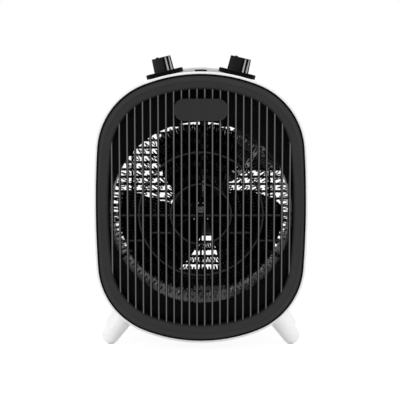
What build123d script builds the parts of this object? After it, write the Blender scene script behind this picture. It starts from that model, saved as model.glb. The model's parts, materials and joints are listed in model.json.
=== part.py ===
from build123d import *

import os
from math import cos, pi, radians, sin, sqrt, tan

# Fan heater with an open wire element, two dials and four peg feet, in millimetres.
# Origin on the floor under the middle of the heater: +X right, +Y to the back, +Z up.
# A "depth" is measured back from the front of the bezel.

# Body outline: three tangent arcs to each quarter
# (half width, half height, top radius, side radius, corner radius)
BODY = (105.0, 134.4, 155.0, 957.0, 73.0)
OPENING = (92.0, 118.4, 139.5, 540.0, 60.0)
LOUVRE_FIELD = (99.5, 87.0, 131.0, 900.0, 50.0)
DEPTH = 130.0
GLAND_FLANGE = 2.5
CENTRE_Z = 145.7
DRAFT = 2.0
Y_FRONT = -(DEPTH + GLAND_FLANGE) / 2

# Front grille
GRILLE_DEPTH = 18.0
BEZEL_WALL = 2.4
BEZEL_INSET = 0.5
DISH_WIDTH = 9.0
DISH_DEPTH = 5.0
LIP_RADIUS = 6.0
SLAT_COUNT = 24
SLAT_PITCH = 7.75
SLAT_WIDTH = 2.3
SLAT_FRONT = 4.6
SLAT_DEPTH = 9.4
TIE_THICK = 1.6
TIE_FRONT = 11.0
TIE_RINGS = (62.5, 30.4)
TIE_DROP = 1.4
BADGE_LENGTH = 53.5
BADGE_HEIGHT = 22.0
BADGE_RISE = 99.0
BADGE_FRONT = 2.6

# Housing shell and rear cover
RIM_DEPTH = 2.0
RIM_WIDTH = 2.6
SHELL_BACK = 118.0
FIT_GAP = 0.3
LEDGE_WIDTH = 8.0
LEDGE_THICK = 2.5
GRILLE_SCREW_RING = 68.0
COVER_SCREW_RING = 62.0
COVER_BOSS = 104.0
COVER_FACE = 2.4
COVER_EDGE = 4.0
LOUVRE_PITCH = 8.0
LOUVRE_HEIGHT = 5.4
LOUVRE_ROWS = 21
RIB_SPACING = 75.0
RIB_WIDTH = 2.4

# Heat duct, baffle and element
AXIS_Z = CENTRE_Z - 6.4
APERTURE = 92.6
BAFFLE_THICK = 2.0
DUCT_WALL = 0.8
DUCT_BACK = 84.0
COIL_DEPTH = 33.0
CURL_RADIUS = 3.4
WIRE = 1.2
COIL_RINGS = {
    "heating_coil_outer": (86.2, 30),
    "heating_coil_second": (74.4, 25),
    "heating_coil_third": (62.6, 21),
    "heating_coil_fourth": (50.8, 14),
    "heating_coil_inner": (37.0, 10),
}
COIL_GAP = 5.2
LUG_DEPTH = 44.0
LUG_THICK = 0.8
MICA_THICK = 1.0
MICA_FRONT = 24.0
MICA_BACK = 48.0
MICA_REACH = 92.2
MICA_ARMS = {"mica_plate_top": 90.0, "mica_plate_left": 210.0, "mica_plate_right": 330.0}
ELEMENT_HUB = 12.0
HUB_RIVETS = 9.7

# Fan and motor
FAN_RADIUS = 87.0
FAN_DEPTH = 66.0
HUB_RADIUS = 11.0
FIRST_BLADE = 93.0
SHAFT = 5.0
SHAFT_FRONT = 54.0
SHAFT_BACK = 123.0
CORE_FRONT = 92.0
CORE_THICK = 20.0
CORE_WIDTH = 58.0
CORE_DROP = 31.0
CORE_RISE = 42.0
ROTOR_RADIUS = 13.9
MOTOR_BOLT_X = 22.0
MOTOR_BOLT_Z = -12.0
BRACKET_GAP = 6.0
BRACKET_THICK = 2.0

# Dials, lamp and handle on the top
DIAL_TILT = 13.5
DIAL_DEPTH = 52.0
DIAL_TURN = 23.0
SKIRT_RADIUS = 19.25
SKIRT_THICK = 4.6
SKIRT_GAP = 1.0
GRIP_LENGTH = 34.0
GRIP_WIDTH = 10.0
GRIP_HEIGHT = 14.5
RIDGE_RADIUS = 1.0
RIDGE_PLACES = (-2.0, 2.0)
SPINDLE = 6.0
BUSH = 9.6
SPOT_DEPTH = 1.0
BOSS_DEPTH = 5.0
LAMP_RADIUS = 6.5
HANDLE_TOP = 139.5
HANDLE_RADIUS = 138.0
HANDLE_THICK = 7.0
HANDLE_HALF = 54.0
HANDLE_FRONT = 98.0
HANDLE_BACK = 116.0
WELL_HALF = 44.0
WELL_FLOOR = 108.0
WELL_FRONT = 91.0
WELL_WALL = 2.0

# Feet
FOOT_X = 93.6
FOOT_RADIUS = 9.2
FOOT_LEAN = 35.0
FOOT_FLARE = 4.0
FOOT_DEPTHS = {"front": 40.0, "rear": 96.0}
PAD_RADIUS = 3.5
PAD_STEP = 0.9


def front_plane(depth, z=CENTRE_Z, x=0.0):
    """Upright plane at a depth behind the bezel's front, seen from the front."""
    return Plane(origin=(x, Y_FRONT + depth, z), x_dir=(1, 0, 0), z_dir=(0, -1, 0))


def shrink(depth, start=0.0):
    """How far a drafted wall has drawn in between two depths."""
    return (depth - start) * tan(radians(DRAFT))


def corner_centre(half_w, half_h, r_top, r_side, r_corner):
    """Centre of the corner arc that is tangent to the top arc and the side arc."""
    top = Vector(0, half_h - r_top)
    side = Vector(half_w - r_side, 0)
    gap = (side - top).length
    along = (side - top).normalized()
    reach = ((r_top - r_corner) ** 2 - (r_side - r_corner) ** 2 + gap**2) / (2 * gap)
    rise = sqrt((r_top - r_corner) ** 2 - reach**2)
    return top + along * reach + Vector(along.Y, -along.X) * rise


def outline(size, grow=0.0):
    """Face of a three-arc outline, drawn about its centre and grown by an offset."""
    half_w, half_h, r_top, r_side, r_corner = (value + grow for value in size)
    centre = corner_centre(half_w, half_h, r_top, r_side, r_corner)
    top = Vector(0, half_h - r_top)
    side = Vector(half_w - r_side, 0)
    on_top = top + (centre - top).normalized() * r_top
    on_side = side + (centre - side).normalized() * r_side
    on_corner = centre + (on_top + on_side - centre * 2).normalized() * r_corner
    with BuildSketch() as sketch:
        with BuildLine():
            for sign in (1, -1):
                ThreePointArc(
                    (-on_top.X, sign * on_top.Y),
                    (0, sign * half_h),
                    (on_top.X, sign * on_top.Y),
                )
                ThreePointArc(
                    (sign * on_side.X, on_side.Y),
                    (sign * half_w, 0),
                    (sign * on_side.X, -on_side.Y),
                )
                for flip in (1, -1):
                    ThreePointArc(
                        (sign * on_top.X, flip * on_top.Y),
                        (sign * on_corner.X, flip * on_corner.Y),
                        (sign * on_side.X, flip * on_side.Y),
                    )
        make_face()
    return sketch.sketch


def corner_points(radius):
    """Four points on the body's corners, at a radius from each corner's centre."""
    centre = corner_centre(*BODY)
    reach = radius * sqrt(0.5)
    return [(sx * (centre.X + reach), sz * (centre.Y + reach)) for sx in (-1, 1) for sz in (-1, 1)]


def top_plane(angle, depth, rise=0.0):
    """Plane square to the top of the shell, at an angle from upright, above its surface."""
    radius = BODY[2] + RIM_WIDTH - shrink(depth, RIM_DEPTH) + rise
    lean = radians(angle)
    height = CENTRE_Z + BODY[1] - BODY[2] + radius * cos(lean)
    return Plane(
        origin=(radius * sin(lean), Y_FRONT + depth, height),
        x_dir=(cos(lean), 0, -sin(lean)),
        z_dir=(sin(lean), 0, cos(lean)),
    )


def foot_plane(side, depth, reach=0.0):
    """Plane square to a foot's axis, a reach up the axis from the round end's centre."""
    lean = radians(FOOT_LEAN)
    axis = Vector(-side * sin(lean), 0, cos(lean))
    origin = Vector(side * FOOT_X, Y_FRONT + depth, FOOT_RADIUS) + axis * reach
    return Plane(origin=origin, x_dir=(0, 1, 0), z_dir=axis)


def foot_length(depth, inset=0.0):
    """Length along a foot's axis from its round end's centre to the shell's corner."""
    centre = corner_centre(*BODY)
    radius = BODY[4] + RIM_WIDTH - shrink(depth, RIM_DEPTH) - inset
    lean = radians(FOOT_LEAN)
    offset = Vector(FOOT_X - centre.X, FOOT_RADIUS - (CENTRE_Z - centre.Y))
    half = offset.dot(Vector(-sin(lean), cos(lean)))
    return -half - sqrt(half**2 - offset.dot(offset) + radius**2)


# Front grille: slats and ties first, then the dished bezel that they grow from
with BuildPart() as slats:
    with BuildSketch(Plane.XY.offset(CENTRE_Z)):
        with Locations((0, Y_FRONT + SLAT_FRONT + SLAT_DEPTH / 2)):
            with GridLocations(SLAT_PITCH, 1, SLAT_COUNT, 1):
                SlotOverall(SLAT_DEPTH, SLAT_WIDTH, rotation=90)
    extrude(amount=BODY[1], both=True)
    with BuildSketch(front_plane(TIE_FRONT, AXIS_Z)):
        for ring in TIE_RINGS:
            Circle(ring + TIE_THICK / 2)
            Circle(ring - TIE_THICK / 2, mode=Mode.SUBTRACT)
        with Locations((0, -TIE_DROP)):
            Rectangle(2 * OPENING[0], TIE_THICK)
        for side in (-1, 1):
            with Locations((side * 40, -19)):
                Rectangle(20, TIE_THICK)
            with Locations((side * 70, -27)):
                Rectangle(24, TIE_THICK)
    extrude(amount=TIE_FRONT - SLAT_FRONT - SLAT_DEPTH)
    with BuildSketch(front_plane(0)):
        add(outline(OPENING, grow=2.0))
    extrude(amount=-GRILLE_DEPTH, mode=Mode.INTERSECT)

with BuildPart() as front_grille:
    with BuildSketch(front_plane(0)):
        add(outline(BODY, grow=-BEZEL_INSET))
    extrude(amount=-GRILLE_DEPTH, taper=DRAFT)
    fillet(front_grille.faces().sort_by(Axis.Y)[0].edges(), 1.4)
    with BuildSketch(front_plane(0)):
        add(outline(OPENING, grow=DISH_WIDTH))
    with BuildSketch(front_plane(DISH_DEPTH)):
        add(outline(OPENING))
    loft(ruled=True, mode=Mode.SUBTRACT)
    with BuildSketch(front_plane(0)):
        add(outline(OPENING))
    extrude(amount=-GRILLE_DEPTH, mode=Mode.SUBTRACT)
    lip = Y_FRONT + DISH_DEPTH
    fillet(front_grille.edges().filter_by_position(Axis.Y, lip - 0.1, lip + 0.1), LIP_RADIUS)
    with BuildSketch(front_plane(GRILLE_DEPTH)):
        add(outline(BODY, grow=-BEZEL_WALL - shrink(GRILLE_DEPTH)))
        add(outline(OPENING, grow=BEZEL_WALL), mode=Mode.SUBTRACT)
    extrude(amount=GRILLE_DEPTH - DISH_DEPTH - BEZEL_WALL, mode=Mode.SUBTRACT)
    with BuildSketch(front_plane(GRILLE_DEPTH)):
        with Locations(*corner_points(GRILLE_SCREW_RING)):
            Circle(3.6)
            Circle(1.55, mode=Mode.SUBTRACT)
    extrude(amount=GRILLE_DEPTH - DISH_DEPTH - 1.0)
    add(slats.part)
    with BuildSketch(front_plane(BADGE_FRONT)):
        with Locations((0, BADGE_RISE)):
            RectangleRounded(BADGE_LENGTH, BADGE_HEIGHT, BADGE_HEIGHT / 2 - 1.2)
    extrude(amount=BADGE_FRONT - TIE_FRONT)

# Housing shell: a drafted band with a ledge for the baffle and seats for what bolts to it
with BuildPart() as shell_block:
    with BuildSketch(front_plane(RIM_DEPTH)):
        add(outline(BODY, grow=RIM_WIDTH))
    extrude(amount=RIM_DEPTH - SHELL_BACK, taper=DRAFT)

with BuildPart() as housing_shell:
    add(shell_block.part)
    fillet(housing_shell.faces().sort_by(Axis.Y)[0].edges(), 1.6)
    with BuildSketch(front_plane(0)):
        add(outline(BODY, grow=FIT_GAP))
    extrude(amount=-SHELL_BACK, taper=DRAFT, mode=Mode.SUBTRACT)
    with BuildSketch(front_plane(GRILLE_DEPTH + BAFFLE_THICK)):
        add(outline(BODY, grow=1.0))
        add(outline(BODY, grow=-LEDGE_WIDTH), mode=Mode.SUBTRACT)
        with Locations(*corner_points(GRILLE_SCREW_RING)):
            Circle(1.7, mode=Mode.SUBTRACT)
    extrude(amount=-LEDGE_THICK)
    for tilt in (-DIAL_TILT, DIAL_TILT):
        with BuildSketch(top_plane(tilt, DIAL_DEPTH, -SPOT_DEPTH)):
            Circle(12)
        extrude(amount=SPOT_DEPTH - BOSS_DEPTH)
        with BuildSketch(top_plane(tilt, DIAL_DEPTH, -SPOT_DEPTH)):
            Circle(10)
        extrude(amount=2 * SPOT_DEPTH, mode=Mode.SUBTRACT)
        with BuildSketch(top_plane(tilt, DIAL_DEPTH, -BOSS_DEPTH)):
            Circle(BUSH / 2 + 0.2)
        extrude(amount=2 * BOSS_DEPTH, mode=Mode.SUBTRACT)
    with BuildSketch(top_plane(0, DIAL_DEPTH, -2 * BOSS_DEPTH)):
        Circle(5.1)
    extrude(amount=3 * BOSS_DEPTH, mode=Mode.SUBTRACT)
    with BuildSketch(Plane.XY.offset(CENTRE_Z + 117.5)):
        with Locations((0, Y_FRONT + (HANDLE_FRONT + HANDLE_BACK) / 2)):
            with GridLocations(100, 1, 2, 1):
                Circle(4.2)
    extrude(amount=5)
    with BuildSketch(Plane.XY.offset(CENTRE_Z + 117.5)):
        with Locations((0, Y_FRONT + (HANDLE_FRONT + HANDLE_BACK) / 2)):
            with GridLocations(100, 1, 2, 1):
                Circle(1.8)
    extrude(amount=20, mode=Mode.SUBTRACT)
    with BuildSketch(front_plane(WELL_FRONT - WELL_WALL)):
        with Locations((0, WELL_FLOOR - WELL_WALL)):
            Rectangle(2 * (WELL_HALF + WELL_WALL), 60, align=(Align.CENTER, Align.MIN))
    extrude(amount=-60, mode=Mode.SUBTRACT)
    with BuildSketch(front_plane(COVER_BOSS)):
        with Locations(*corner_points(COVER_SCREW_RING)):
            Circle(4.5)
            Circle(1.55, mode=Mode.SUBTRACT)
    extrude(amount=COVER_BOSS - SHELL_BACK)
    with BuildSketch(front_plane(COVER_BOSS)):
        for x, z in corner_points(COVER_SCREW_RING + 4.5):
            with Locations(Location((x, z, 0), 45 if x * z > 0 else -45)):
                Rectangle(9, 2.4)
        with Locations(*corner_points(COVER_SCREW_RING)):
            Circle(1.55, mode=Mode.SUBTRACT)
    extrude(amount=-7.5)
    for depth in FOOT_DEPTHS.values():
        for side in (-1, 1):
            with BuildSketch(foot_plane(side, depth, foot_length(depth, 1.5))):
                Circle(6)
            extrude(amount=4.5)
            with BuildSketch(foot_plane(side, depth, foot_length(depth, -3))):
                Circle(2.2)
            extrude(amount=20, mode=Mode.SUBTRACT)

# Rear cover: louvred back, four pillars for its screws, four posts for the motor
MOTOR_POST_TOP = CORE_FRONT + CORE_THICK + BRACKET_GAP + BRACKET_THICK
MOTOR_POSTS = [(sx * MOTOR_BOLT_X, AXIS_Z - CENTRE_Z + MOTOR_BOLT_Z) for sx in (-1, 1)]
GLAND_AT = (50.0, -104.0)
BLOCK_AT = (10.0, -108.0)

with BuildPart() as rear_cover:
    with BuildSketch(front_plane(SHELL_BACK)):
        add(outline(BODY, grow=RIM_WIDTH - shrink(SHELL_BACK, RIM_DEPTH) - 0.2))
    extrude(amount=SHELL_BACK - DEPTH)
    fillet(rear_cover.faces().sort_by(Axis.Y)[-1].edges(), COVER_EDGE)
    with BuildSketch(front_plane(SHELL_BACK)):
        add(outline(BODY, grow=-3.4))
    extrude(amount=SHELL_BACK + COVER_FACE - DEPTH, mode=Mode.SUBTRACT)
    with BuildSketch(front_plane(SHELL_BACK - 6)):
        add(outline(BODY, grow=-4.4))
        add(outline(BODY, grow=-6.4), mode=Mode.SUBTRACT)
    extrude(amount=SHELL_BACK - DEPTH - 5)
    with BuildSketch(front_plane(DEPTH - COVER_FACE)):
        with GridLocations(1, LOUVRE_PITCH, 1, LOUVRE_ROWS):
            Rectangle(2 * LOUVRE_FIELD[0], LOUVRE_HEIGHT)
        add(outline(LOUVRE_FIELD), mode=Mode.INTERSECT)
        with GridLocations(RIB_SPACING, 1, 3, 1):
            Rectangle(RIB_WIDTH, 200, mode=Mode.SUBTRACT)
    extrude(amount=-2 * COVER_FACE, mode=Mode.SUBTRACT)
    with BuildSketch(front_plane(SHELL_BACK)):
        with Locations(*corner_points(COVER_SCREW_RING)):
            Circle(4.5)
    extrude(amount=SHELL_BACK - DEPTH + 1)
    with BuildSketch(front_plane(MOTOR_POST_TOP)):
        with Locations(*MOTOR_POSTS):
            Circle(4.5)
    extrude(amount=MOTOR_POST_TOP - DEPTH + 0.6)
    with BuildSketch(front_plane(MOTOR_POST_TOP)):
        with Locations(*MOTOR_POSTS):
            Circle(1.55)
    extrude(amount=-6, mode=Mode.SUBTRACT)
    with BuildSketch(front_plane(DEPTH)):
        with Locations(*corner_points(COVER_SCREW_RING)):
            Circle(1.7)
        with Locations(GLAND_AT):
            Circle(6.1)
    extrude(amount=DEPTH - SHELL_BACK + 2, mode=Mode.SUBTRACT)
    with BuildSketch(front_plane(DEPTH)):
        with Locations(*corner_points(COVER_SCREW_RING)):
            Circle(3.4)
    extrude(amount=3, mode=Mode.SUBTRACT)
    with BuildSketch(front_plane(SHELL_BACK - 10)):
        with Locations((0, WELL_FLOOR - WELL_WALL)):
            Rectangle(2 * (WELL_HALF + WELL_WALL), 60, align=(Align.CENTER, Align.MIN))
    extrude(amount=-40, mode=Mode.SUBTRACT)

# Screws that hold the grille and the rear cover
with BuildPart() as grille_screws:
    with BuildSketch(front_plane(GRILLE_DEPTH + BAFFLE_THICK + LEDGE_THICK)):
        with Locations(*corner_points(GRILLE_SCREW_RING)):
            Circle(1.5)
    extrude(amount=12)
    with BuildSketch(front_plane(GRILLE_DEPTH + BAFFLE_THICK + LEDGE_THICK)):
        with Locations(*corner_points(GRILLE_SCREW_RING)):
            Circle(2.7)
    extrude(amount=-2)

with BuildPart() as cover_screws:
    with BuildSketch(front_plane(DEPTH - 3)):
        with Locations(*corner_points(COVER_SCREW_RING)):
            Circle(1.5)
    extrude(amount=20)
    with BuildSketch(front_plane(DEPTH - 3)):
        with Locations(*corner_points(COVER_SCREW_RING)):
            Circle(2.9)
    extrude(amount=-2)
    with BuildSketch(front_plane(DEPTH - 1)):
        with Locations(*corner_points(COVER_SCREW_RING)):
            Rectangle(4, 0.8)
            Rectangle(0.8, 4)
    extrude(amount=1.0, mode=Mode.SUBTRACT)

# Baffle plate and the round heat duct behind it
with BuildPart() as baffle_plate:
    with BuildSketch(front_plane(GRILLE_DEPTH)):
        add(outline(BODY, grow=-shrink(GRILLE_DEPTH + BAFFLE_THICK) - 0.2))
        with Locations((0, AXIS_Z - CENTRE_Z)):
            Circle(APERTURE, mode=Mode.SUBTRACT)
        with Locations(*corner_points(GRILLE_SCREW_RING)):
            Circle(1.7, mode=Mode.SUBTRACT)
    extrude(amount=-BAFFLE_THICK)

DUCT_FRONT = GRILLE_DEPTH + BAFFLE_THICK

with BuildPart() as heat_duct:
    with BuildSketch(front_plane(DUCT_FRONT, AXIS_Z)):
        Circle(APERTURE + DUCT_WALL)
        Circle(APERTURE, mode=Mode.SUBTRACT)
    extrude(amount=DUCT_FRONT - DUCT_BACK)
    with BuildSketch(front_plane(DUCT_FRONT, AXIS_Z)):
        Circle(APERTURE + 3)
        Circle(APERTURE, mode=Mode.SUBTRACT)
    extrude(amount=-1)
    with BuildSketch(front_plane(MICA_FRONT + 5.8, AXIS_Z)):
        with PolarLocations(APERTURE, len(MICA_ARMS), start_angle=90):
            Rectangle(8, MICA_THICK + 0.4)
    extrude(amount=-12.4, mode=Mode.SUBTRACT)

# Element: three mica plates in a star round a hub, with a window wherever a coil goes through
COIL_RADII = [ring for ring, _ in COIL_RINGS.values()]


def mica_plate(angle, windows):
    """Mica plate from the hub to the duct; local x runs outward and local y to the back."""
    out = Vector(cos(radians(angle)), 0, sin(radians(angle)))
    plane = Plane(origin=(0, Y_FRONT + MICA_FRONT, AXIS_Z), x_dir=out, z_dir=out.cross(Vector(0, 1, 0)))
    height = MICA_BACK - MICA_FRONT
    root = ELEMENT_HUB - 4.0
    tongue = APERTURE + 2.4
    with BuildPart() as plate:
        with BuildSketch(plane):
            with Locations(((root + MICA_REACH) / 2, height / 2)):
                Rectangle(MICA_REACH - root, height)
            with Locations(((root + tongue) / 2, height / 2)):
                Rectangle(tongue - root, 8)
            if windows:
                with Locations(*[(ring, COIL_DEPTH - MICA_FRONT) for ring in COIL_RADII]):
                    Circle(CURL_RADIUS + WIRE / 2 + 1.2, mode=Mode.SUBTRACT)
        extrude(amount=MICA_THICK / 2, both=True)
    return plate.part


mica_plates = {label: mica_plate(angle, angle != 90) for label, angle in MICA_ARMS.items()}

with BuildPart() as element_hub:
    with BuildSketch(front_plane(MICA_FRONT + 2, AXIS_Z)):
        Circle(ELEMENT_HUB)
        Circle(ELEMENT_HUB - 6, mode=Mode.SUBTRACT)
        with PolarLocations(ELEMENT_HUB, len(MICA_ARMS), start_angle=90):
            Rectangle(8.2, MICA_THICK + 0.1, mode=Mode.SUBTRACT)
    extrude(amount=MICA_FRONT - MICA_BACK + 4)

with BuildPart() as hub_rivets:
    with BuildSketch(front_plane(MICA_FRONT + 2, AXIS_Z)):
        for beside in (-14, 14):
            with PolarLocations(HUB_RIVETS, len(MICA_ARMS), start_angle=90 + beside):
                Circle(0.9)
    extrude(amount=0.7)
    fillet(hub_rivets.faces().filter_by(Plane.XZ).group_by(Axis.Y)[0].edges(), 0.4)


def biarc(start, start_dir, end, end_dir):
    """Meeting point and direction of two tangent arcs between two directed points."""
    chord = end - start
    square = 2 * (1 - start_dir.dot(end_dir))
    run = chord.dot(start_dir + end_dir)
    reach = (sqrt(run**2 + square * chord.dot(chord)) - run) / square
    first = start + start_dir * reach
    second = end - end_dir * reach
    return (first + second) * 0.5, (second - first).normalized()


def coil_nodes(ring, curls):
    """Directed points of a coil laid round a ring, two to each curl, open at the top."""
    gap = COIL_GAP / ring
    steps = 2 * curls - 1
    nodes = []
    for step in range(steps + 1):
        around = pi / 2 + gap + (2 * pi - 2 * gap) * step / steps
        curl = pi * (step + 1)
        radial = Vector(cos(around), 0, sin(around))
        across = Vector(-sin(around), 0, cos(around))
        axial = Vector(0, 1, 0)
        reach = ring + CURL_RADIUS * cos(curl)
        point = radial * reach + Vector(0, Y_FRONT + COIL_DEPTH, AXIS_Z)
        turn = axial * (CURL_RADIUS * cos(curl) * pi) + across * (reach * (2 * pi - 2 * gap) / steps)
        ends = step in (0, steps)
        nodes.append((point, axial * cos(curl) if ends else turn.normalized()))
    return nodes


def heating_coil(label, ring, curls):
    """One unbroken coil of wire with straight leads to its two lugs."""
    nodes = coil_nodes(ring, curls)
    lead = Vector(0, LUG_DEPTH - COIL_DEPTH, 0)
    start = nodes[0][0]
    with BuildPart() as coil:
        with BuildLine() as path:
            Line(start + lead, start)
            for (here, here_dir), (there, there_dir) in zip(nodes, nodes[1:]):
                meet, meet_dir = biarc(here, here_dir, there, there_dir)
                TangentArc(here, meet, tangent=here_dir)
                TangentArc(meet, there, tangent=meet_dir)
            Line(nodes[-1][0], nodes[-1][0] + lead)
        with BuildSketch(Plane(origin=start + lead, z_dir=(0, -1, 0))):
            Circle(WIRE / 2)
        sweep()
    length = path.wire().length
    count = 16 * curls
    points = [path.wire() @ (i / count) for i in range(count + 1)]
    skip = int(0.6 * count / curls)
    least = min(
        (points[i] - points[j]).length
        for i in range(count + 1)
        for j in range(i + skip, count + 1)
    )
    print(f"{label}: {curls} curls, wire {length:.0f} mm, least gap to itself {least - WIRE:.2f} mm")
    print(f"{label}: volume {coil.part.volume:.1f}, section times length {pi * WIRE**2 / 4 * length:.1f}")
    return coil.part


coils = {label: heating_coil(label, *ring) for label, ring in COIL_RINGS.items()}

with BuildPart() as element_lugs:
    for ring in COIL_RADII:
        for side, reach in ((-1, ring - CURL_RADIUS), (1, ring + CURL_RADIUS)):
            with BuildSketch(front_plane(LUG_DEPTH, AXIS_Z + reach)):
                with Locations((side * MICA_THICK / 2, 0)):
                    Rectangle(7, 4.4, align=(Align.MIN if side > 0 else Align.MAX, Align.CENTER))
            extrude(amount=-LUG_THICK)
            with BuildSketch(front_plane(LUG_DEPTH, AXIS_Z + reach)):
                with Locations((side * MICA_THICK / 2, 0)):
                    Rectangle(LUG_THICK, 4.4, align=(Align.MIN if side > 0 else Align.MAX, Align.CENTER))
            extrude(amount=4.5)

# Thermal cut-out on a plate that fills the upper right of the duct
CUTOUT_PLANE = front_plane(46, AXIS_Z)
CUTOUT_AT = (30.0, 35.0)
STRAP_THICK = 2.5

with BuildPart() as cutout_bracket:
    with BuildSketch(CUTOUT_PLANE):
        with BuildLine():
            Polyline((38, 43), (92, 43), (92, 92), (36, 92), close=True)
        make_face()
        Circle(APERTURE - 0.1, mode=Mode.INTERSECT)
    extrude(amount=-1)
    with BuildSketch(CUTOUT_PLANE):
        with BuildLine():
            Polyline((25, 32), (31, 29.5), (48.5, 43), (62, 66), (57.5, 66), (43.5, 45), close=True)
        make_face()
        with BuildLine():
            Polyline((60, 66), (65, 66), (69, 58), (65, 58), close=True)
        make_face()
    extrude(amount=STRAP_THICK)
    with BuildSketch(CUTOUT_PLANE):
        with BuildLine():
            Polyline((60, 43), (95, 43), (95, 62), (60, 62), close=True)
        make_face()
        Circle(APERTURE, mode=Mode.INTERSECT)
        Circle(APERTURE - 1, mode=Mode.SUBTRACT)
    extrude(amount=-8)

with BuildPart() as thermal_cutout:
    with BuildSketch(CUTOUT_PLANE.offset(STRAP_THICK)):
        with Locations(CUTOUT_AT):
            Circle(4.2)
    extrude(amount=4)
    fillet(thermal_cutout.faces().sort_by(Axis.Y)[0].edges(), 1)
    with BuildSketch(CUTOUT_PLANE.offset(STRAP_THICK)):
        with Locations(CUTOUT_AT):
            Circle(5.5)
    extrude(amount=1.2)

with BuildPart() as thermal_fuse:
    with BuildSketch(Plane(origin=(MICA_THICK / 2 + 1.6, Y_FRONT + 42, AXIS_Z + 20), z_dir=(0, 0, 1))):
        Circle(1.6)
    extrude(amount=11)
    with BuildSketch(Plane(origin=(MICA_THICK / 2 + 1.6, Y_FRONT + 42, AXIS_Z + 14), z_dir=(0, 0, 1))):
        Circle(0.5)
    extrude(amount=23)


# Fan: three broad twisted blades on a hub
def blade_section(radius, chord, pitch, thick):
    """Blade section square to the radius, as a plane and its size."""
    plane = Plane(origin=(radius, Y_FRONT + FAN_DEPTH, AXIS_Z), x_dir=(0, 0, 1), z_dir=(1, 0, 0))
    return plane.rotated((0, 0, pitch)), chord, thick


with BuildPart() as blade:
    for section_plane, chord, thick in (
        blade_section(2, 60, 32, 2.6),
        blade_section(48, 124, 17, 2.2),
        blade_section(94, 130, 11, 1.8),
    ):
        with BuildSketch(section_plane):
            with Locations((-6, 0)):
                SlotOverall(chord, thick)
    loft()
    with BuildSketch(front_plane(40, AXIS_Z)):
        with BuildLine():
            ThreePointArc((3, 7), (36, 37), (62, 42))
            ThreePointArc((62, 42), (75, 39.5), (82.44, 27.8))
            ThreePointArc((82.44, 27.8), (85.42, -16.47), (69.75, -52))
            ThreePointArc((69.75, -52), (61.5, -58), (51.5, -55))
            ThreePointArc((51.5, -55), (32.5, -30), (11, -8))
            Line((11, -8), (3, 7))
        make_face()
    extrude(amount=-60, mode=Mode.INTERSECT)

with BuildPart() as fan:
    for step in range(3):
        add(blade.part.rotate(Axis((0, 0, AXIS_Z), (0, -1, 0)), FIRST_BLADE + 120 * step))
    with BuildSketch(front_plane(56, AXIS_Z)):
        Circle(HUB_RADIUS)
    extrude(amount=-20)
    fillet(fan.faces().filter_by(Plane.XZ).sort_by(Axis.Y)[0].edges(), 3)
    with BuildSketch(front_plane(40, AXIS_Z)):
        Circle(SHAFT / 2 + 0.02)
    extrude(amount=-60, mode=Mode.SUBTRACT)

with BuildPart() as fan_clip:
    with BuildSketch(front_plane(55, AXIS_Z)):
        Circle(4.6)
        Circle(SHAFT / 2 + 0.02, mode=Mode.SUBTRACT)
    extrude(amount=-1)

# Motor: laminated core with the coil on its upper bar, rotor, shaft, brackets and bearings
with BuildPart() as motor_shaft:
    with BuildSketch(front_plane(SHAFT_FRONT, AXIS_Z)):
        Circle(SHAFT / 2)
    extrude(amount=SHAFT_FRONT - SHAFT_BACK)
    chamfer(motor_shaft.edges().filter_by(GeomType.CIRCLE), 0.5)

with BuildPart() as motor_rotor:
    with BuildSketch(front_plane(CORE_FRONT - 2, AXIS_Z)):
        Circle(ROTOR_RADIUS)
        Circle(SHAFT / 2 + 0.02, mode=Mode.SUBTRACT)
    extrude(amount=-CORE_THICK - 4)

with BuildPart() as motor_core:
    with BuildSketch(front_plane(CORE_FRONT, AXIS_Z)):
        with Locations((0, (CORE_RISE - CORE_DROP) / 2)):
            RectangleRounded(CORE_WIDTH, CORE_RISE + CORE_DROP, 3)
        Circle(ROTOR_RADIUS + 0.5, mode=Mode.SUBTRACT)
        with Locations((0, 23.5)):
            Rectangle(34, 13, mode=Mode.SUBTRACT)
        with Locations(*[(sx * MOTOR_BOLT_X, MOTOR_BOLT_Z) for sx in (-1, 1)]):
            Circle(1.7, mode=Mode.SUBTRACT)
    extrude(amount=-CORE_THICK)

BAR_Z = AXIS_Z + (30 + CORE_RISE) / 2
CORE_MID = CORE_FRONT + CORE_THICK / 2

with BuildPart() as motor_bobbin:
    with BuildSketch(Plane(origin=(-16.6, Y_FRONT + CORE_MID, BAR_Z), x_dir=(0, 1, 0), z_dir=(1, 0, 0))):
        Rectangle(CORE_THICK + 3, 12 + 3)
        Rectangle(CORE_THICK + 0.2, 12 + 0.2, mode=Mode.SUBTRACT)
    extrude(amount=33.2)
    for x in (-16.6, 15.1):
        with BuildSketch(Plane(origin=(x, Y_FRONT + CORE_MID, BAR_Z), x_dir=(0, 1, 0), z_dir=(1, 0, 0))):
            RectangleRounded(CORE_THICK + 17, 12 + 17, 2)
            Rectangle(CORE_THICK + 0.2, 12 + 0.2, mode=Mode.SUBTRACT)
        extrude(amount=1.5)
    with BuildSketch(front_plane(CORE_FRONT, AXIS_Z)):
        with Locations((0, 11)):
            Rectangle(60, 22)
    extrude(amount=-CORE_THICK, mode=Mode.SUBTRACT)

with BuildPart() as motor_winding:
    with BuildSketch(Plane(origin=(-14.9, Y_FRONT + CORE_MID, BAR_Z), x_dir=(0, 1, 0), z_dir=(1, 0, 0))):
        RectangleRounded(CORE_THICK + 14, 12 + 14, 4)
        Rectangle(CORE_THICK + 3.2, 12 + 3.2, mode=Mode.SUBTRACT)
    extrude(amount=29.8)


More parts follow.
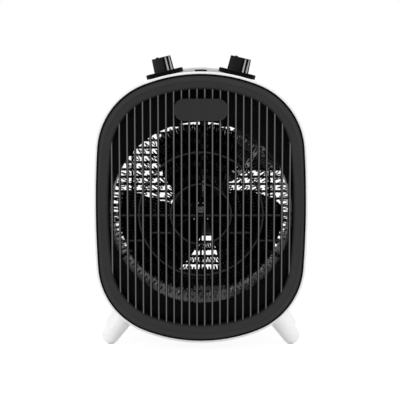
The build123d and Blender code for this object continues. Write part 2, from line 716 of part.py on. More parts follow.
def bearing_bracket(depth, toward):
    """Strap across the core with two spacers, and a cup for the bearing at its middle."""
    with BuildPart() as bracket:
        with BuildSketch(front_plane(depth, AXIS_Z)):
            with Locations((0, MOTOR_BOLT_Z / 2)):
                RectangleRounded(2 * MOTOR_BOLT_X + 12, 24, 5)
        extrude(amount=-toward * BRACKET_THICK)
        with BuildSketch(front_plane(depth, AXIS_Z)):
            with Locations(*[(sx * MOTOR_BOLT_X, MOTOR_BOLT_Z) for sx in (-1, 1)]):
                Circle(4)
        extrude(amount=-toward * (BRACKET_THICK + BRACKET_GAP))
        with BuildSketch(front_plane(depth, AXIS_Z)):
            Circle(7)
        extrude(amount=-toward * (BRACKET_THICK + 3.5))
        with BuildSketch(front_plane(depth, AXIS_Z)):
            Circle(4.52)
            with Locations(*[(sx * MOTOR_BOLT_X, MOTOR_BOLT_Z) for sx in (-1, 1)]):
                Circle(1.7)
        extrude(amount=-toward * (BRACKET_THICK + BRACKET_GAP), mode=Mode.SUBTRACT)
    return bracket.part


def bearing(depth):
    """Plain bush round the shaft."""
    with BuildPart() as bush:
        with BuildSketch(front_plane(depth, AXIS_Z)):
            Circle(4.5)
            Circle(SHAFT / 2 + 0.05, mode=Mode.SUBTRACT)
        extrude(amount=-5.5)
    return bush.part


FRONT_BRACKET = CORE_FRONT - BRACKET_GAP - BRACKET_THICK
BACK_BRACKET = CORE_FRONT + CORE_THICK + BRACKET_GAP + BRACKET_THICK
bracket_front = bearing_bracket(FRONT_BRACKET, 1)
bracket_rear = bearing_bracket(BACK_BRACKET, -1)
bearing_front = bearing(FRONT_BRACKET)
bearing_rear = bearing(BACK_BRACKET - 5.5)

with BuildPart() as motor_screws:
    with BuildSketch(front_plane(FRONT_BRACKET, AXIS_Z)):
        with Locations(*[(sx * MOTOR_BOLT_X, MOTOR_BOLT_Z) for sx in (-1, 1)]):
            Circle(1.5)
    extrude(amount=FRONT_BRACKET - BACK_BRACKET - 5.5)
    with BuildSketch(front_plane(FRONT_BRACKET, AXIS_Z)):
        with Locations(*[(sx * MOTOR_BOLT_X, MOTOR_BOLT_Z) for sx in (-1, 1)]):
            Circle(2.9)
    extrude(amount=2)


# Dials and the controls under them
def dial(tilt):
    """Round skirt with a bar grip, turned to where it points, and a pip on top."""
    with BuildPart() as knob:
        with BuildSketch(top_plane(tilt, DIAL_DEPTH, SKIRT_GAP)):
            Circle(SKIRT_RADIUS)
        extrude(amount=SKIRT_THICK)
        rim = knob.edges().filter_by(GeomType.CIRCLE).sort_by(Axis.Z)[-1]
        fillet(rim, 1.0)
        with BuildSketch(top_plane(tilt, DIAL_DEPTH, SKIRT_GAP + SKIRT_THICK - 1)):
            RectangleRounded(GRIP_WIDTH, GRIP_LENGTH, 1.5, rotation=DIAL_TURN)
        extrude(amount=GRIP_HEIGHT + 1, taper=1.5)
        with BuildSketch(top_plane(tilt, DIAL_DEPTH, SKIRT_GAP + SKIRT_THICK + GRIP_HEIGHT - 0.2)):
            SlotOverall(5, 1.6, rotation=90 + DIAL_TURN)
        extrude(amount=1.0)
        with BuildSketch(top_plane(tilt, DIAL_DEPTH, SKIRT_GAP)):
            Circle(15)
            Circle(5, mode=Mode.SUBTRACT)
        extrude(amount=3, mode=Mode.SUBTRACT)
        with BuildSketch(top_plane(tilt, DIAL_DEPTH, SKIRT_GAP)):
            Circle(5)
        extrude(amount=1.8, mode=Mode.SUBTRACT)
        with BuildSketch(top_plane(tilt, DIAL_DEPTH, SKIRT_GAP)):
            Circle(SPINDLE / 2 + 0.02)
        extrude(amount=13, mode=Mode.SUBTRACT)
    return knob.part


def pointer(tilt, knob):
    """Two pale ridges set on the pointing end of a dial's grip."""
    with BuildPart() as ridges:
        with BuildSketch(top_plane(tilt, DIAL_DEPTH, SKIRT_GAP + SKIRT_THICK)):
            with Locations(Location((0, 0, 0), DIAL_TURN)):
                with Locations(*[(place, -GRIP_LENGTH / 2) for place in RIDGE_PLACES]):
                    Circle(RIDGE_RADIUS)
        extrude(amount=GRIP_HEIGHT - 0.8, taper=1.5)
        add(knob, mode=Mode.SUBTRACT)
    return ridges.part


def spindle(tilt):
    """Control spindle from inside the body up into the dial."""
    with BuildPart() as rod:
        with BuildSketch(top_plane(tilt, DIAL_DEPTH, -16)):
            Circle(SPINDLE / 2)
        extrude(amount=28)
        chamfer(rod.edges().filter_by(GeomType.CIRCLE), 0.4)
    return rod.part


def bush(tilt):
    """Threaded bush that the spindle turns in."""
    with BuildPart() as sleeve:
        with BuildSketch(top_plane(tilt, DIAL_DEPTH, -BOSS_DEPTH)):
            Circle(BUSH / 2)
            Circle(SPINDLE / 2 + 0.05, mode=Mode.SUBTRACT)
        extrude(amount=BOSS_DEPTH + 2.2)
    return sleeve.part


def nut(tilt):
    """Hexagon nut on the bush, sunk in the shell's spot face."""
    with BuildPart() as hexagon:
        with BuildSketch(top_plane(tilt, DIAL_DEPTH, -SPOT_DEPTH)):
            RegularPolygon(7, 6, major_radius=False)
            Circle(BUSH / 2 + 0.02, mode=Mode.SUBTRACT)
        extrude(amount=2.4)
    return hexagon.part


def control_body(tilt, length, width, height):
    """Insulating block under the shell with a well for the spindle."""
    with BuildPart() as block:
        with BuildSketch(top_plane(tilt, DIAL_DEPTH, -BOSS_DEPTH)):
            RectangleRounded(length, width, 2)
        extrude(amount=-height)
        with BuildSketch(top_plane(tilt, DIAL_DEPTH, -BOSS_DEPTH)):
            Circle(SPINDLE / 2 + 0.05)
        extrude(amount=-12, mode=Mode.SUBTRACT)
        with BuildSketch(top_plane(tilt, DIAL_DEPTH, -BOSS_DEPTH - height)):
            with GridLocations(length / 3, 1, 3, 1):
                Rectangle(0.8, 6)
        extrude(amount=-6)
    return block.part


thermostat_dial = dial(-DIAL_TILT)
selector_dial = dial(DIAL_TILT)

# Thermostat's bimetal leaf, hung beside its block
with BuildPart() as thermostat_leaf:
    with BuildSketch(top_plane(-DIAL_TILT, DIAL_DEPTH, -BOSS_DEPTH - 14)):
        with Locations((-18.5, 0)):
            Rectangle(1.0, 9)
    extrude(amount=-14)
    with BuildSketch(top_plane(-DIAL_TILT, DIAL_DEPTH, -BOSS_DEPTH - 14)):
        with Locations((-17.0, 0)):
            Rectangle(4.0, 9)
    extrude(amount=1.0)

# Lamp lens and its holder
with BuildPart() as lamp_lens:
    with BuildSketch(top_plane(0, DIAL_DEPTH, 0.5)):
        Circle(LAMP_RADIUS)
    extrude(amount=2.8)
    fillet(lamp_lens.edges().filter_by(GeomType.CIRCLE).sort_by(Axis.Z)[-1], 2.2)

with BuildPart() as lamp_holder:
    with BuildSketch(top_plane(0, DIAL_DEPTH, -13)):
        Circle(4.8)
    extrude(amount=13.5)
    with BuildSketch(top_plane(0, DIAL_DEPTH, -4.2)):
        Circle(6)
        Circle(4.8, mode=Mode.SUBTRACT)
    extrude(amount=-1.2)

# Carry handle: an arched bar over a well for the fingers, held by two screws
with BuildPart() as carry_handle:
    with BuildSketch(front_plane(HANDLE_FRONT)):
        with Locations((0, HANDLE_TOP - HANDLE_RADIUS)):
            Circle(HANDLE_RADIUS)
            Circle(HANDLE_RADIUS - HANDLE_THICK, mode=Mode.SUBTRACT)
        with Locations((0, HANDLE_TOP)):
            Rectangle(2 * HANDLE_HALF, 60, mode=Mode.INTERSECT)
    extrude(amount=HANDLE_FRONT - HANDLE_BACK)
    fillet(carry_handle.faces().sort_by(Axis.Z)[-1].edges(), 2.2)
    add(shell_block.part, mode=Mode.SUBTRACT)
    with BuildSketch(Plane.XY.offset(CENTRE_Z + 110)):
        with Locations((0, Y_FRONT + (HANDLE_FRONT + HANDLE_BACK) / 2)):
            with GridLocations(100, 1, 2, 1):
                Circle(1.55)
    extrude(amount=17.5, mode=Mode.SUBTRACT)

with BuildPart() as handle_screws:
    with BuildSketch(Plane.XY.offset(CENTRE_Z + 117.5)):
        with Locations((0, Y_FRONT + (HANDLE_FRONT + HANDLE_BACK) / 2)):
            with GridLocations(100, 1, 2, 1):
                Circle(1.5)
    extrude(amount=9.5)
    with BuildSketch(Plane.XY.offset(CENTRE_Z + 117.5)):
        with Locations((0, Y_FRONT + (HANDLE_FRONT + HANDLE_BACK) / 2)):
            with GridLocations(100, 1, 2, 1):
                Circle(2.9)
    extrude(amount=-2)

with BuildPart() as handle_well:
    with BuildSketch(front_plane(WELL_FRONT - WELL_WALL)):
        with Locations((0, WELL_FLOOR - WELL_WALL)):
            Rectangle(2 * (WELL_HALF + WELL_WALL), 60, align=(Align.CENTER, Align.MIN))
    extrude(amount=WELL_FRONT - WELL_WALL - SHELL_BACK)
    add(shell_block.part, mode=Mode.INTERSECT)
    with BuildSketch(front_plane(WELL_FRONT)):
        with Locations((0, WELL_FLOOR)):
            Rectangle(2 * WELL_HALF, 60, align=(Align.CENTER, Align.MIN))
    extrude(amount=-60, mode=Mode.SUBTRACT)


# Feet: tapered pegs with round ends, cut to sit on the shell, with rubber pads and screws
def foot(side, depth):
    """Peg foot on the shell's lower corner."""
    flare = radians(FOOT_FLARE)
    sunk = FOOT_RADIUS * sin(flare)
    length = foot_length(depth) + 8
    neck = FOOT_RADIUS * cos(flare)
    with BuildPart() as peg:
        with Locations(foot_plane(side, depth)):
            Sphere(FOOT_RADIUS)
        with Locations(foot_plane(side, depth, -sunk)):
            Cone(
                neck,
                neck + (length + sunk) * tan(flare),
                length + sunk,
                align=(Align.CENTER, Align.CENTER, Align.MIN),
            )
        add(shell_block.part, mode=Mode.SUBTRACT)
        with BuildSketch(Plane.XY.offset(PAD_STEP)):
            Rectangle(400, 400)
        extrude(amount=-5, mode=Mode.SUBTRACT)
        with BuildSketch(Plane.XY):
            with Locations((side * FOOT_X, Y_FRONT + depth)):
                Circle(PAD_RADIUS)
        extrude(amount=2.4, mode=Mode.SUBTRACT)
        with BuildSketch(foot_plane(side, depth, foot_length(depth) - 13)):
            Circle(2.05)
        extrude(amount=20, mode=Mode.SUBTRACT)
    return peg.part


feet = {
    f"foot_{end}_{name}": foot(side, depth)
    for end, depth in FOOT_DEPTHS.items()
    for name, side in (("left", -1), ("right", 1))
}

with BuildPart() as foot_pads:
    with BuildSketch(Plane.XY):
        with Locations(*[(sx * FOOT_X, Y_FRONT + depth) for sx in (-1, 1) for depth in FOOT_DEPTHS.values()]):
            Circle(PAD_RADIUS)
    extrude(amount=2.4)

with BuildPart() as foot_screws:
    for depth in FOOT_DEPTHS.values():
        seat = foot_length(depth, 1.5) + 4.5
        for side in (-1, 1):
            with BuildSketch(foot_plane(side, depth, foot_length(depth) - 12)):
                Circle(2.0)
            extrude(amount=seat - foot_length(depth) + 12)
            with BuildSketch(foot_plane(side, depth, seat)):
                Circle(3.6)
            extrude(amount=2.4)

# Cord gland through the rear cover, its nut, and the terminal block beside it
with BuildPart() as cord_gland:
    with BuildSketch(front_plane(DEPTH, CENTRE_Z + GLAND_AT[1], GLAND_AT[0])):
        Circle(9)
    extrude(amount=-GLAND_FLANGE)
    fillet(cord_gland.faces().sort_by(Axis.Y)[-1].edges(), 1)
    with BuildSketch(front_plane(DEPTH, CENTRE_Z + GLAND_AT[1], GLAND_AT[0])):
        Circle(6)
    extrude(amount=10)
    with BuildSketch(front_plane(DEPTH + 5, CENTRE_Z + GLAND_AT[1], GLAND_AT[0])):
        Circle(3.8)
    extrude(amount=20, mode=Mode.SUBTRACT)

with BuildPart() as gland_nut:
    with BuildSketch(front_plane(DEPTH - COVER_FACE, CENTRE_Z + GLAND_AT[1], GLAND_AT[0])):
        RegularPolygon(8.5, 6, major_radius=False)
        Circle(6.02, mode=Mode.SUBTRACT)
    extrude(amount=4)

with BuildPart() as terminal_block:
    with BuildSketch(front_plane(DEPTH - COVER_FACE, CENTRE_Z + BLOCK_AT[1], BLOCK_AT[0])):
        RectangleRounded(36, 16, 2)
    extrude(amount=13)
    with BuildSketch(front_plane(DEPTH - COVER_FACE - 13, CENTRE_Z + BLOCK_AT[1], BLOCK_AT[0])):
        with GridLocations(11, 9, 3, 2):
            Circle(1.8)
    extrude(amount=-5, mode=Mode.SUBTRACT)

pieces = {
    "front_grille": front_grille.part,
    "housing_shell": housing_shell.part,
    "rear_cover": rear_cover.part,
    "baffle_plate": baffle_plate.part,
    "heat_duct": heat_duct.part,
    **mica_plates,
    "element_hub": element_hub.part,
    "hub_rivets": hub_rivets.part,
    **coils,
    "element_lugs": element_lugs.part,
    "cutout_bracket": cutout_bracket.part,
    "thermal_cutout": thermal_cutout.part,
    "thermal_fuse": thermal_fuse.part,
    "fan": fan.part,
    "fan_clip": fan_clip.part,
    "motor_shaft": motor_shaft.part,
    "motor_rotor": motor_rotor.part,
    "motor_core": motor_core.part,
    "motor_bobbin": motor_bobbin.part,
    "motor_winding": motor_winding.part,
    "motor_bracket_front": bracket_front,
    "motor_bracket_rear": bracket_rear,
    "bearing_front": bearing_front,
    "bearing_rear": bearing_rear,
    "motor_screws": motor_screws.part,
    "thermostat_dial": thermostat_dial,
    "thermostat_pointer": pointer(-DIAL_TILT, thermostat_dial),
    "thermostat_spindle": spindle(-DIAL_TILT),
    "thermostat_bush": bush(-DIAL_TILT),
    "thermostat_nut": nut(-DIAL_TILT),
    "thermostat_body": control_body(-DIAL_TILT, 30, 20, 20),
    "thermostat_leaf": thermostat_leaf.part,
    "selector_dial": selector_dial,
    "selector_pointer": pointer(DIAL_TILT, selector_dial),
    "selector_spindle": spindle(DIAL_TILT),
    "selector_bush": bush(DIAL_TILT),
    "selector_nut": nut(DIAL_TILT),
    "selector_body": control_body(DIAL_TILT, 26, 26, 22),
    "lamp_lens": lamp_lens.part,
    "lamp_holder": lamp_holder.part,
    "carry_handle": carry_handle.part,
    "handle_screws": handle_screws.part,
    "handle_well": handle_well.part,
    **feet,
    "foot_pads": foot_pads.part,
    "foot_screws": foot_screws.part,
    "grille_screws": grille_screws.part,
    "cover_screws": cover_screws.part,
    "cord_gland": cord_gland.part,
    "gland_nut": gland_nut.part,
    "terminal_block": terminal_block.part,
}

os.makedirs("parts", exist_ok=True)
for label, piece in pieces.items():
    piece.label = label
    export_step(piece, f"parts/{label}.step")
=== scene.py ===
import json
from math import atan2, cos, pi, radians, sin, sqrt

import bmesh
import bpy
from bpy.props import FloatProperty, FloatVectorProperty, IntProperty, PointerProperty
from bpy.types import Operator, Panel, PropertyGroup
from mathutils import Matrix, Vector


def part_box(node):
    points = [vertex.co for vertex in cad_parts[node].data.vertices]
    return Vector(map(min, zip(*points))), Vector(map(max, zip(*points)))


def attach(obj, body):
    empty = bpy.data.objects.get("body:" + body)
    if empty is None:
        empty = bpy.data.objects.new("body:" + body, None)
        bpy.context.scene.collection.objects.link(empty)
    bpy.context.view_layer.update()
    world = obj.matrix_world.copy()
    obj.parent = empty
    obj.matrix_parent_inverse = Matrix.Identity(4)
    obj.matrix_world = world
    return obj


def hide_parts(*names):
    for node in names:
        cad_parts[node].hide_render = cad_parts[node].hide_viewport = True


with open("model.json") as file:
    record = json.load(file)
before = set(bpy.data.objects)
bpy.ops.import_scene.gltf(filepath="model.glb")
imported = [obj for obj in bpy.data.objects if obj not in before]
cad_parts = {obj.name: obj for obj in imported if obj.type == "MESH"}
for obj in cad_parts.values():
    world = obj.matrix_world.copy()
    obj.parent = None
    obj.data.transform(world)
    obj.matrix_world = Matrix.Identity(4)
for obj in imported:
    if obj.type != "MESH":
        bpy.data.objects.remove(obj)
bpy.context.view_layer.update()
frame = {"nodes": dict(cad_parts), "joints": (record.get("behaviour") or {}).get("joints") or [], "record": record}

bl_info = {
    "name": "Fan Heater",
    "version": (1, 0, 0),
    "blender": (4, 5, 0),
    "location": "3D View > Sidebar > Heater",
    "description": "Dresses the solids of an upright fan heater with finishes and fine pieces",
    "category": "Object",
}

MM = 0.001
JOINTS = {joint["name"]: joint for joint in frame["joints"]}
SLOT_OF = {part["node"]: part["material_slot"] for part in frame["record"]["subparts"]}
COLOUR_OF = {entry["slot"]: tuple(entry["base_color"][:3]) for entry in frame["record"]["materials"]}
AXIS = Vector(JOINTS["fan_spin"]["pos_m"])
BEZEL_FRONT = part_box("front_grille")[0].y
BEZEL_MIDDLE = (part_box("front_grille")[0].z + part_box("front_grille")[1].z) / 2

# Heating coils, in millimetres: the curls of the solids, the gap at the leads and the wire's sides
SOLID_CURL = 3.4
SOLID_WIRE = 1.2
COIL_GAP = 5.2
WIRE_SIDES = 7

# Dials, in millimetres: the skirt as radius and height, the bar grip and the pip on it, whose steps
# are an inset and a depth under its top
SKIRT_PROFILE = (
    (0, 4.4), (3.2, 4.4), (3.2, 2.8), (5.2, 2.8), (5.2, 4.0), (14.8, 4.0), (15.0, 3.8), (15.0, 1.0),
    (18.9, 1.0), (19.25, 1.35), (19.25, 4.7), (19.12, 5.1), (18.85, 5.42), (18.45, 5.6), (0, 5.6),
)
GRIP_SIZE = (10.0, 34.0)
GRIP_CORNER = 1.6
GRIP_FOOT = 5.0
GRIP_LOW = 6.2
GRIP_TOP = 20.1
GRIP_SHOULDER = 1.0
GRIP_ROUND = 0.7
GRIP_STEPS = 6
GRIP_TAPER = radians(1.5)
GRIP_TURN = radians(23)
PIP_SIZE = (1.6, 5.0)
PIP_CORNER = 0.79
PIP_BACK = 11.0
PIP_SINK = 0.5
PIP_TOP = 20.9
PIP_STEPS = ((0.0, 0.4), (0.12, 0.12), (0.4, 0.0))

# Lamp lens, in millimetres: radius and height
LENS_PROFILE = (
    (0, 0.5), (6.5, 0.5), (6.5, 1.9), (6.4, 2.2), (6.1, 2.5), (5.5, 2.8), (4.6, 3.02), (3.2, 3.2),
    (1.6, 3.28), (0, 3.3),
)
LENS_STEPS = 48

# Bezel, in millimetres: half its width and height, and the radii of its top, side and corner arcs
BEZEL_ARCS = (105.0, 134.4, 155.0, 957.0, 73.0)
ARC_STEPS = 24

# Black strip in the seam round it, a painted shadow, in millimetres: growth of the outline and depth behind the
# bezel's front
SEAM_SHADOW_SECTION = (
    (0.2, 2.8), (0.2, 1.6), (-0.2, 1.15), (-0.5, 0.62), (-1.1, 0.09), (-1.7, 0.005), (-1.75, 0.2),
    (-1.2, 0.6), (-0.8, 1.4), (-0.8, 2.8),
)

# Bare plate on the grille, in millimetres: its steps are an inset and a depth behind the bezel's front
BADGE_SIZE = (53.5, 22.0)
BADGE_CORNER = 9.8
BADGE_RISE = 99.0
BADGE_STEPS = ((0, 2.7), (0, 2.15), (0.15, 1.85), (0.45, 1.7), (0.85, 1.7), (1.1, 1.85), (1.25, 2.1))

# Fronts with a painted highlight, a paler line, in millimetres behind the bezel's front, and how far the highlight
# reaches
SLAT_FRONT = 4.6
TIE_FRONT = 11.0
STRAP_FRONT = 43.5
FRONT_REACH = 0.6

# Motor winding, in millimetres
TURN_WIRE = 0.9
TURN_PITCH = 0.97
TURN_CORNER = 4
TURN_STEPS = 5
TURN_SIDES = 6
CORE_INSET = 0.1

# Finishes, in metres: widths of patches, grains and lines, and depths of relief
CLOUD_PATCH = 0.03
DULL_PATCH = 0.018
GLOSS_PATCH = 0.011
HOT_PATCH = 0.009
SMALL_PATCH = 0.004
LENS_PATCH = 0.003
TINY_PATCH = 0.002
HAND_GRAIN = 0.0009
MOULD_GRAIN = 0.0007
HOT_GRAIN = 0.0006
HIGHLIT_EDGE = 0.0006
DRAWN_LINE = 0.0005
FLAKE_RELIEF = 0.00015
SHEET_RELIEF = 0.00012
FINE_RELIEF = 0.00002

# Finishes, without unit: repeats to the metre, stretch of drawn lines, spreads of roughness and colour
FLAKE_REPEATS = 260.0
SHEET_REPEATS = 320.0
DRAWN_STRETCH = 0.04
GLOSS_SPREAD = 0.05
DRAWN_SPREAD = 0.08
HOT_SPREAD = 0.1
DULLING = 0.12

# Limits between which noise is spread, and between which a face counts as an edge, a front or a side
NOISE_LIMITS = (0.3, 0.7)
EDGE_LIMITS = (0.98, 0.8)
FRONT_LIMITS = (-0.88, -0.985)
SIDE_LIMITS = (-0.93, -0.5)

# Shades: of the pads and of the plate; as factors, the painted shade of the slats' sides and the painted highlight
# of the strap; and the painted shade of slots inside the heater, darker than the record's
PAD_GREY = (0.55, 0.55, 0.55)
PLATE_FACTOR = 0.77
SIDE_SHADE_FACTOR = 0.15
STRAP_HIGHLIGHT_FACTOR = 3.0
SHADE_INSIDE = {
    "mica": 0.3, "hub_ceramic": 0.4, "lug_metal": 0.25, "cutout_steel": 0.4, "shaft_steel": 0.4,
    "core_iron": 0.3, "bracket_steel": 0.06, "bush_brass": 0.4,
}

# Angle below which an edge of a new piece is shaded soft
SOFT_ANGLE = radians(35)

# Stage: place, width and height of each lamp, the floor and how far the camera sees, in metres
LAMPS = {
    "key": ((-1.3, -0.9, 0.75), (0.22, 1.3)),
    "fill": ((1.35, -1.1, 0.75), (0.4, 1.3)),
    "top": ((0.0, 0.4, 1.8), (1.2, 0.8)),
}
FLOOR_HALF = 8.0
SIGHT = 50
FLOOR_WHITE = (0.9, 0.9, 0.9, 1)
FLOOR_FAINT = (0.16, 0.16, 0.16, 1)
FLOOR_GLOW = 0.9
WHITE = (1, 1, 1, 1)

# Width of the camera's sensor, in millimetres
SENSOR = 36.0


class HeaterFinishes(PropertyGroup):
    """Colours and grain of the heater's finishes."""

    shell: FloatVectorProperty(
        name="Shell", description="White of the shell and the finger well", subtype="COLOR",
        size=3, min=0, max=1, default=COLOUR_OF["shell_white"],
    )
    # Painted shade: the handle's grey stands for the shell's white plastic in shade
    handle: FloatVectorProperty(
        name="Handle", description="Grey of the carry handle", subtype="COLOR",
        size=3, min=0, max=1, default=(0.58, 0.58, 0.58),
    )
    foot: FloatVectorProperty(
        name="Feet", description="White of the peg feet", subtype="COLOR",
        size=3, min=0, max=1, default=(0.93, 0.93, 0.93),
    )
    grille: FloatVectorProperty(
        name="Grille", description="Black of the bezel and slats", subtype="COLOR",
        size=3, min=0, max=1, default=(0.037, 0.037, 0.0375),
    )
    # Painted shadow: black of the strip that stands for the shadow in the gap between the bezel and the shell
    seam: FloatVectorProperty(
        name="Seam", description="Black of the seal between the bezel and the shell", subtype="COLOR",
        size=3, min=0, max=1, default=(0.002, 0.002, 0.002),
    )
    # Painted highlight: grey of the slats' fronts, standing for light on their rounded fronts
    slat_highlight: FloatVectorProperty(
        name="Slat fronts", description="Grey of the rubbed fronts of the slats", subtype="COLOR",
        size=3, min=0, max=1, default=(0.16, 0.16, 0.16),
    )
    # Painted highlight: grey of the ties' fronts, standing for light on them
    tie: FloatVectorProperty(
        name="Tie fronts", description="Grey of the fronts of the ribs that tie the slats",
        subtype="COLOR", size=3, min=0, max=1, default=(0.06, 0.06, 0.06),
    )
    cover: FloatVectorProperty(
        name="Rear cover", description="Black of the louvred back", subtype="COLOR",
        size=3, min=0, max=1, default=(0.018, 0.018, 0.018),
    )
    dial: FloatVectorProperty(
        name="Dials", description="Black of the dials", subtype="COLOR",
        size=3, min=0, max=1, default=(0.004, 0.004, 0.004),
    )
    fan: FloatVectorProperty(
        name="Fan", description="Black of the fan", subtype="COLOR",
        size=3, min=0, max=1, default=(0.004, 0.004, 0.004),
    )
    baffle: FloatVectorProperty(
        name="Baffle", description="Black of the baffle plate", subtype="COLOR",
        size=3, min=0, max=1, default=(0.012, 0.012, 0.012),
    )
    # Painted shade: the duct's steel is painted near black, as in shade inside the heater
    duct: FloatVectorProperty(
        name="Duct", description="Steel of the heat duct", subtype="COLOR",
        size=3, min=0, max=1, default=(0.02, 0.02, 0.02),
    )
    wire: FloatVectorProperty(
        name="Wire", description="Resistance wire of the outer ring", subtype="COLOR",
        size=3, min=0, max=1, default=(0.5, 0.5, 0.5),
    )
    # Painted shade: the inner rings are the outer ring's wire, painted darker as in the slats' shade, not by heat
    shaded_wire: FloatVectorProperty(
        name="Hot wire", description="Resistance wire of the inner rings, darkened by heat",
        subtype="COLOR", size=3, min=0, max=1, default=COLOUR_OF["element_wire_dark"],
    )
    grain: FloatProperty(
        name="Grain", description="Depth of the moulded grain", subtype="DISTANCE", unit="LENGTH",
        min=0, max=0.001, default=0.00005,
    )


class HeaterSizes(PropertyGroup):
    """Sizes of the fine pieces."""

    wire: FloatProperty(
        name="Wire", description="Diameter of the resistance wire", subtype="DISTANCE", unit="LENGTH",
        min=0.0004, max=0.0014, default=0.0012,
    )
    curl: FloatProperty(
        name="Curl", description="Radius of the wire's curls", subtype="DISTANCE", unit="LENGTH",
        min=0.002, max=0.0045, default=0.0043,
    )
    curl_pitch: FloatProperty(
        name="Curl pitch", description="Distance from one curl of the wire to the next",
        subtype="DISTANCE", unit="LENGTH", min=0.0022, max=0.01, default=0.0033,
    )
    outer_pitch: FloatProperty(
        name="Outer pitch", description="The same distance on the ring by the duct's wall",
        subtype="DISTANCE", unit="LENGTH", min=0.0022, max=0.01, default=0.0046,
    )
    inner_pitch: FloatProperty(
        name="Inner pitch", description="The same distance on the innermost ring", subtype="DISTANCE",
        unit="LENGTH", min=0.0022, max=0.01, default=0.0024,
    )
    curl_steps: IntProperty(
        name="Curl steps", description="Points to each curl of the wire", min=8, max=32, default=14,
    )


class HeaterStage(PropertyGroup):
    """Camera, floor and light."""

    distance: FloatProperty(
        name="Distance", description="From the camera to the bezel", subtype="DISTANCE", unit="LENGTH",
        min=0.3, max=10, default=1.3,
    )
    rise: FloatProperty(
        name="Rise", description="How far the camera looks down", subtype="ANGLE", unit="ROTATION",
        min=0, max=1.5, default=radians(7),
    )
    field: FloatProperty(
        name="Field", description="Width of the view at the bezel", subtype="DISTANCE", unit="LENGTH",
        min=0.1, max=4, default=0.4,
    )
    aim: FloatVectorProperty(
        name="Aim", description="Middle of the view, right of and above the bezel's middle",
        subtype="XYZ", unit="LENGTH", size=2, default=(-0.00087, 0.0091),
    )
    key: FloatProperty(
        name="Key", description="Tall lamp, left", subtype="POWER", unit="POWER", min=0, default=6,
    )
    fill: FloatProperty(
        name="Fill", description="Tall lamp, right", subtype="POWER", unit="POWER", min=0, default=6,
    )
    top: FloatProperty(
        name="Top", description="Lamp above", subtype="POWER", unit="POWER", min=0, default=6.5,
    )
    sky: FloatProperty(name="Sky", description="Even light from all round", min=0, max=2, default=0.74)


def node_of(tree, kind, **inputs):
    """Shader node with the given input values; a socket as a value is linked."""
    node = tree.nodes.new(kind)
    for label, value in inputs.items():
        socket = node.inputs[label.replace("_", " ")]
        if isinstance(value, bpy.types.NodeSocket):
            tree.links.new(value, socket)
        else:
            socket.default_value = value
    return node


def new_finish(name, **values):
    """Empty finish with its surface shader and the piece's own coordinates."""
    material = bpy.data.materials.new(name)
    material.use_nodes = True
    tree = material.node_tree
    surface = tree.nodes["Principled BSDF"]
    for label, value in values.items():
        surface.inputs[label.replace("_", " ")].default_value = value
    place = tree.nodes.new("ShaderNodeTexCoord").outputs["Object"]
    return material, tree, surface, place


def stretched(tree, place, scale):
    """Coordinates stretched along the axes, in repeats to the metre."""
    return node_of(tree, "ShaderNodeMapping", Vector=place, Scale=scale).outputs[0]


def cloud(tree, place, size, detail=3.0):
    """Noise with features of about a size in metres."""
    noise = node_of(tree, "ShaderNodeTexNoise", Vector=place, Scale=1 / size, Detail=detail)
    return noise.outputs["Fac"]


def mapped(tree, value, limits, low=0.0, high=1.0):
    """Value between two limits, spread between two others."""
    spread = {"From_Min": limits[0], "From_Max": limits[1], "To_Min": low, "To_Max": high}
    return node_of(tree, "ShaderNodeMapRange", Value=value, **spread).outputs[0]


def ranged(tree, value, low, high):
    """Noise value spread between two limits."""
    return mapped(tree, value, NOISE_LIMITS, low, high)


def link_colour(tree, surface, colours):
    """Gives the surface a colour that varies."""
    tree.links.new(colours, surface.inputs["Base Color"])


def link_gloss(tree, surface, gloss):
    """Gives the surface a roughness that varies."""
    tree.links.new(gloss, surface.inputs["Roughness"])


def tint(tree, factor, dark, light):
    """Colour between two colours, the first of which may be a socket."""
    mix = tree.nodes.new("ShaderNodeMix")
    mix.data_type = "RGBA"
    tree.links.new(factor, mix.inputs["Factor"])
    if isinstance(dark, bpy.types.NodeSocket):
        tree.links.new(dark, mix.inputs[6])
    else:
        mix.inputs[6].default_value = (*dark, 1)
    mix.inputs[7].default_value = (*light, 1)
    return mix.outputs[2]


def edges(tree, radius):
    """One along edges and small rounds of about a radius in metres, and nought on flat faces."""
    rounded = node_of(tree, "ShaderNodeBevel", Radius=radius).outputs[0]
    flat = tree.nodes.new("ShaderNodeNewGeometry").outputs["Normal"]
    meet = tree.nodes.new("ShaderNodeVectorMath")
    meet.operation = "DOT_PRODUCT"
    tree.links.new(rounded, meet.inputs[0])
    tree.links.new(flat, meet.inputs[1])
    return mapped(tree, meet.outputs["Value"], EDGE_LIMITS)


def paint_front_highlight(material, depth, pale):
    """Painted highlight: paler lines on the faces that look forward at a depth in metres behind the bezel's front.
    """
    tree = material.node_tree
    base_input = tree.nodes["Principled BSDF"].inputs["Base Color"]
    where = tree.nodes.new("ShaderNodeTexCoord")
    facing = node_of(tree, "ShaderNodeSeparateXYZ", Vector=where.outputs["Normal"]).outputs["Y"]
    place = node_of(tree, "ShaderNodeSeparateXYZ", Vector=where.outputs["Object"]).outputs["Y"]
    near = tree.nodes.new("ShaderNodeMath")
    near.operation = "COMPARE"
    tree.links.new(place, near.inputs[0])
    near.inputs[1].default_value = BEZEL_FRONT + depth
    near.inputs[2].default_value = FRONT_REACH * MM
    both = tree.nodes.new("ShaderNodeMath")
    both.operation = "MULTIPLY"
    tree.links.new(near.outputs[0], both.inputs[0])
    tree.links.new(mapped(tree, facing, FRONT_LIMITS), both.inputs[1])
    tree.links.new(tint(tree, both.outputs[0], base_input.links[0].from_socket, pale), base_input)


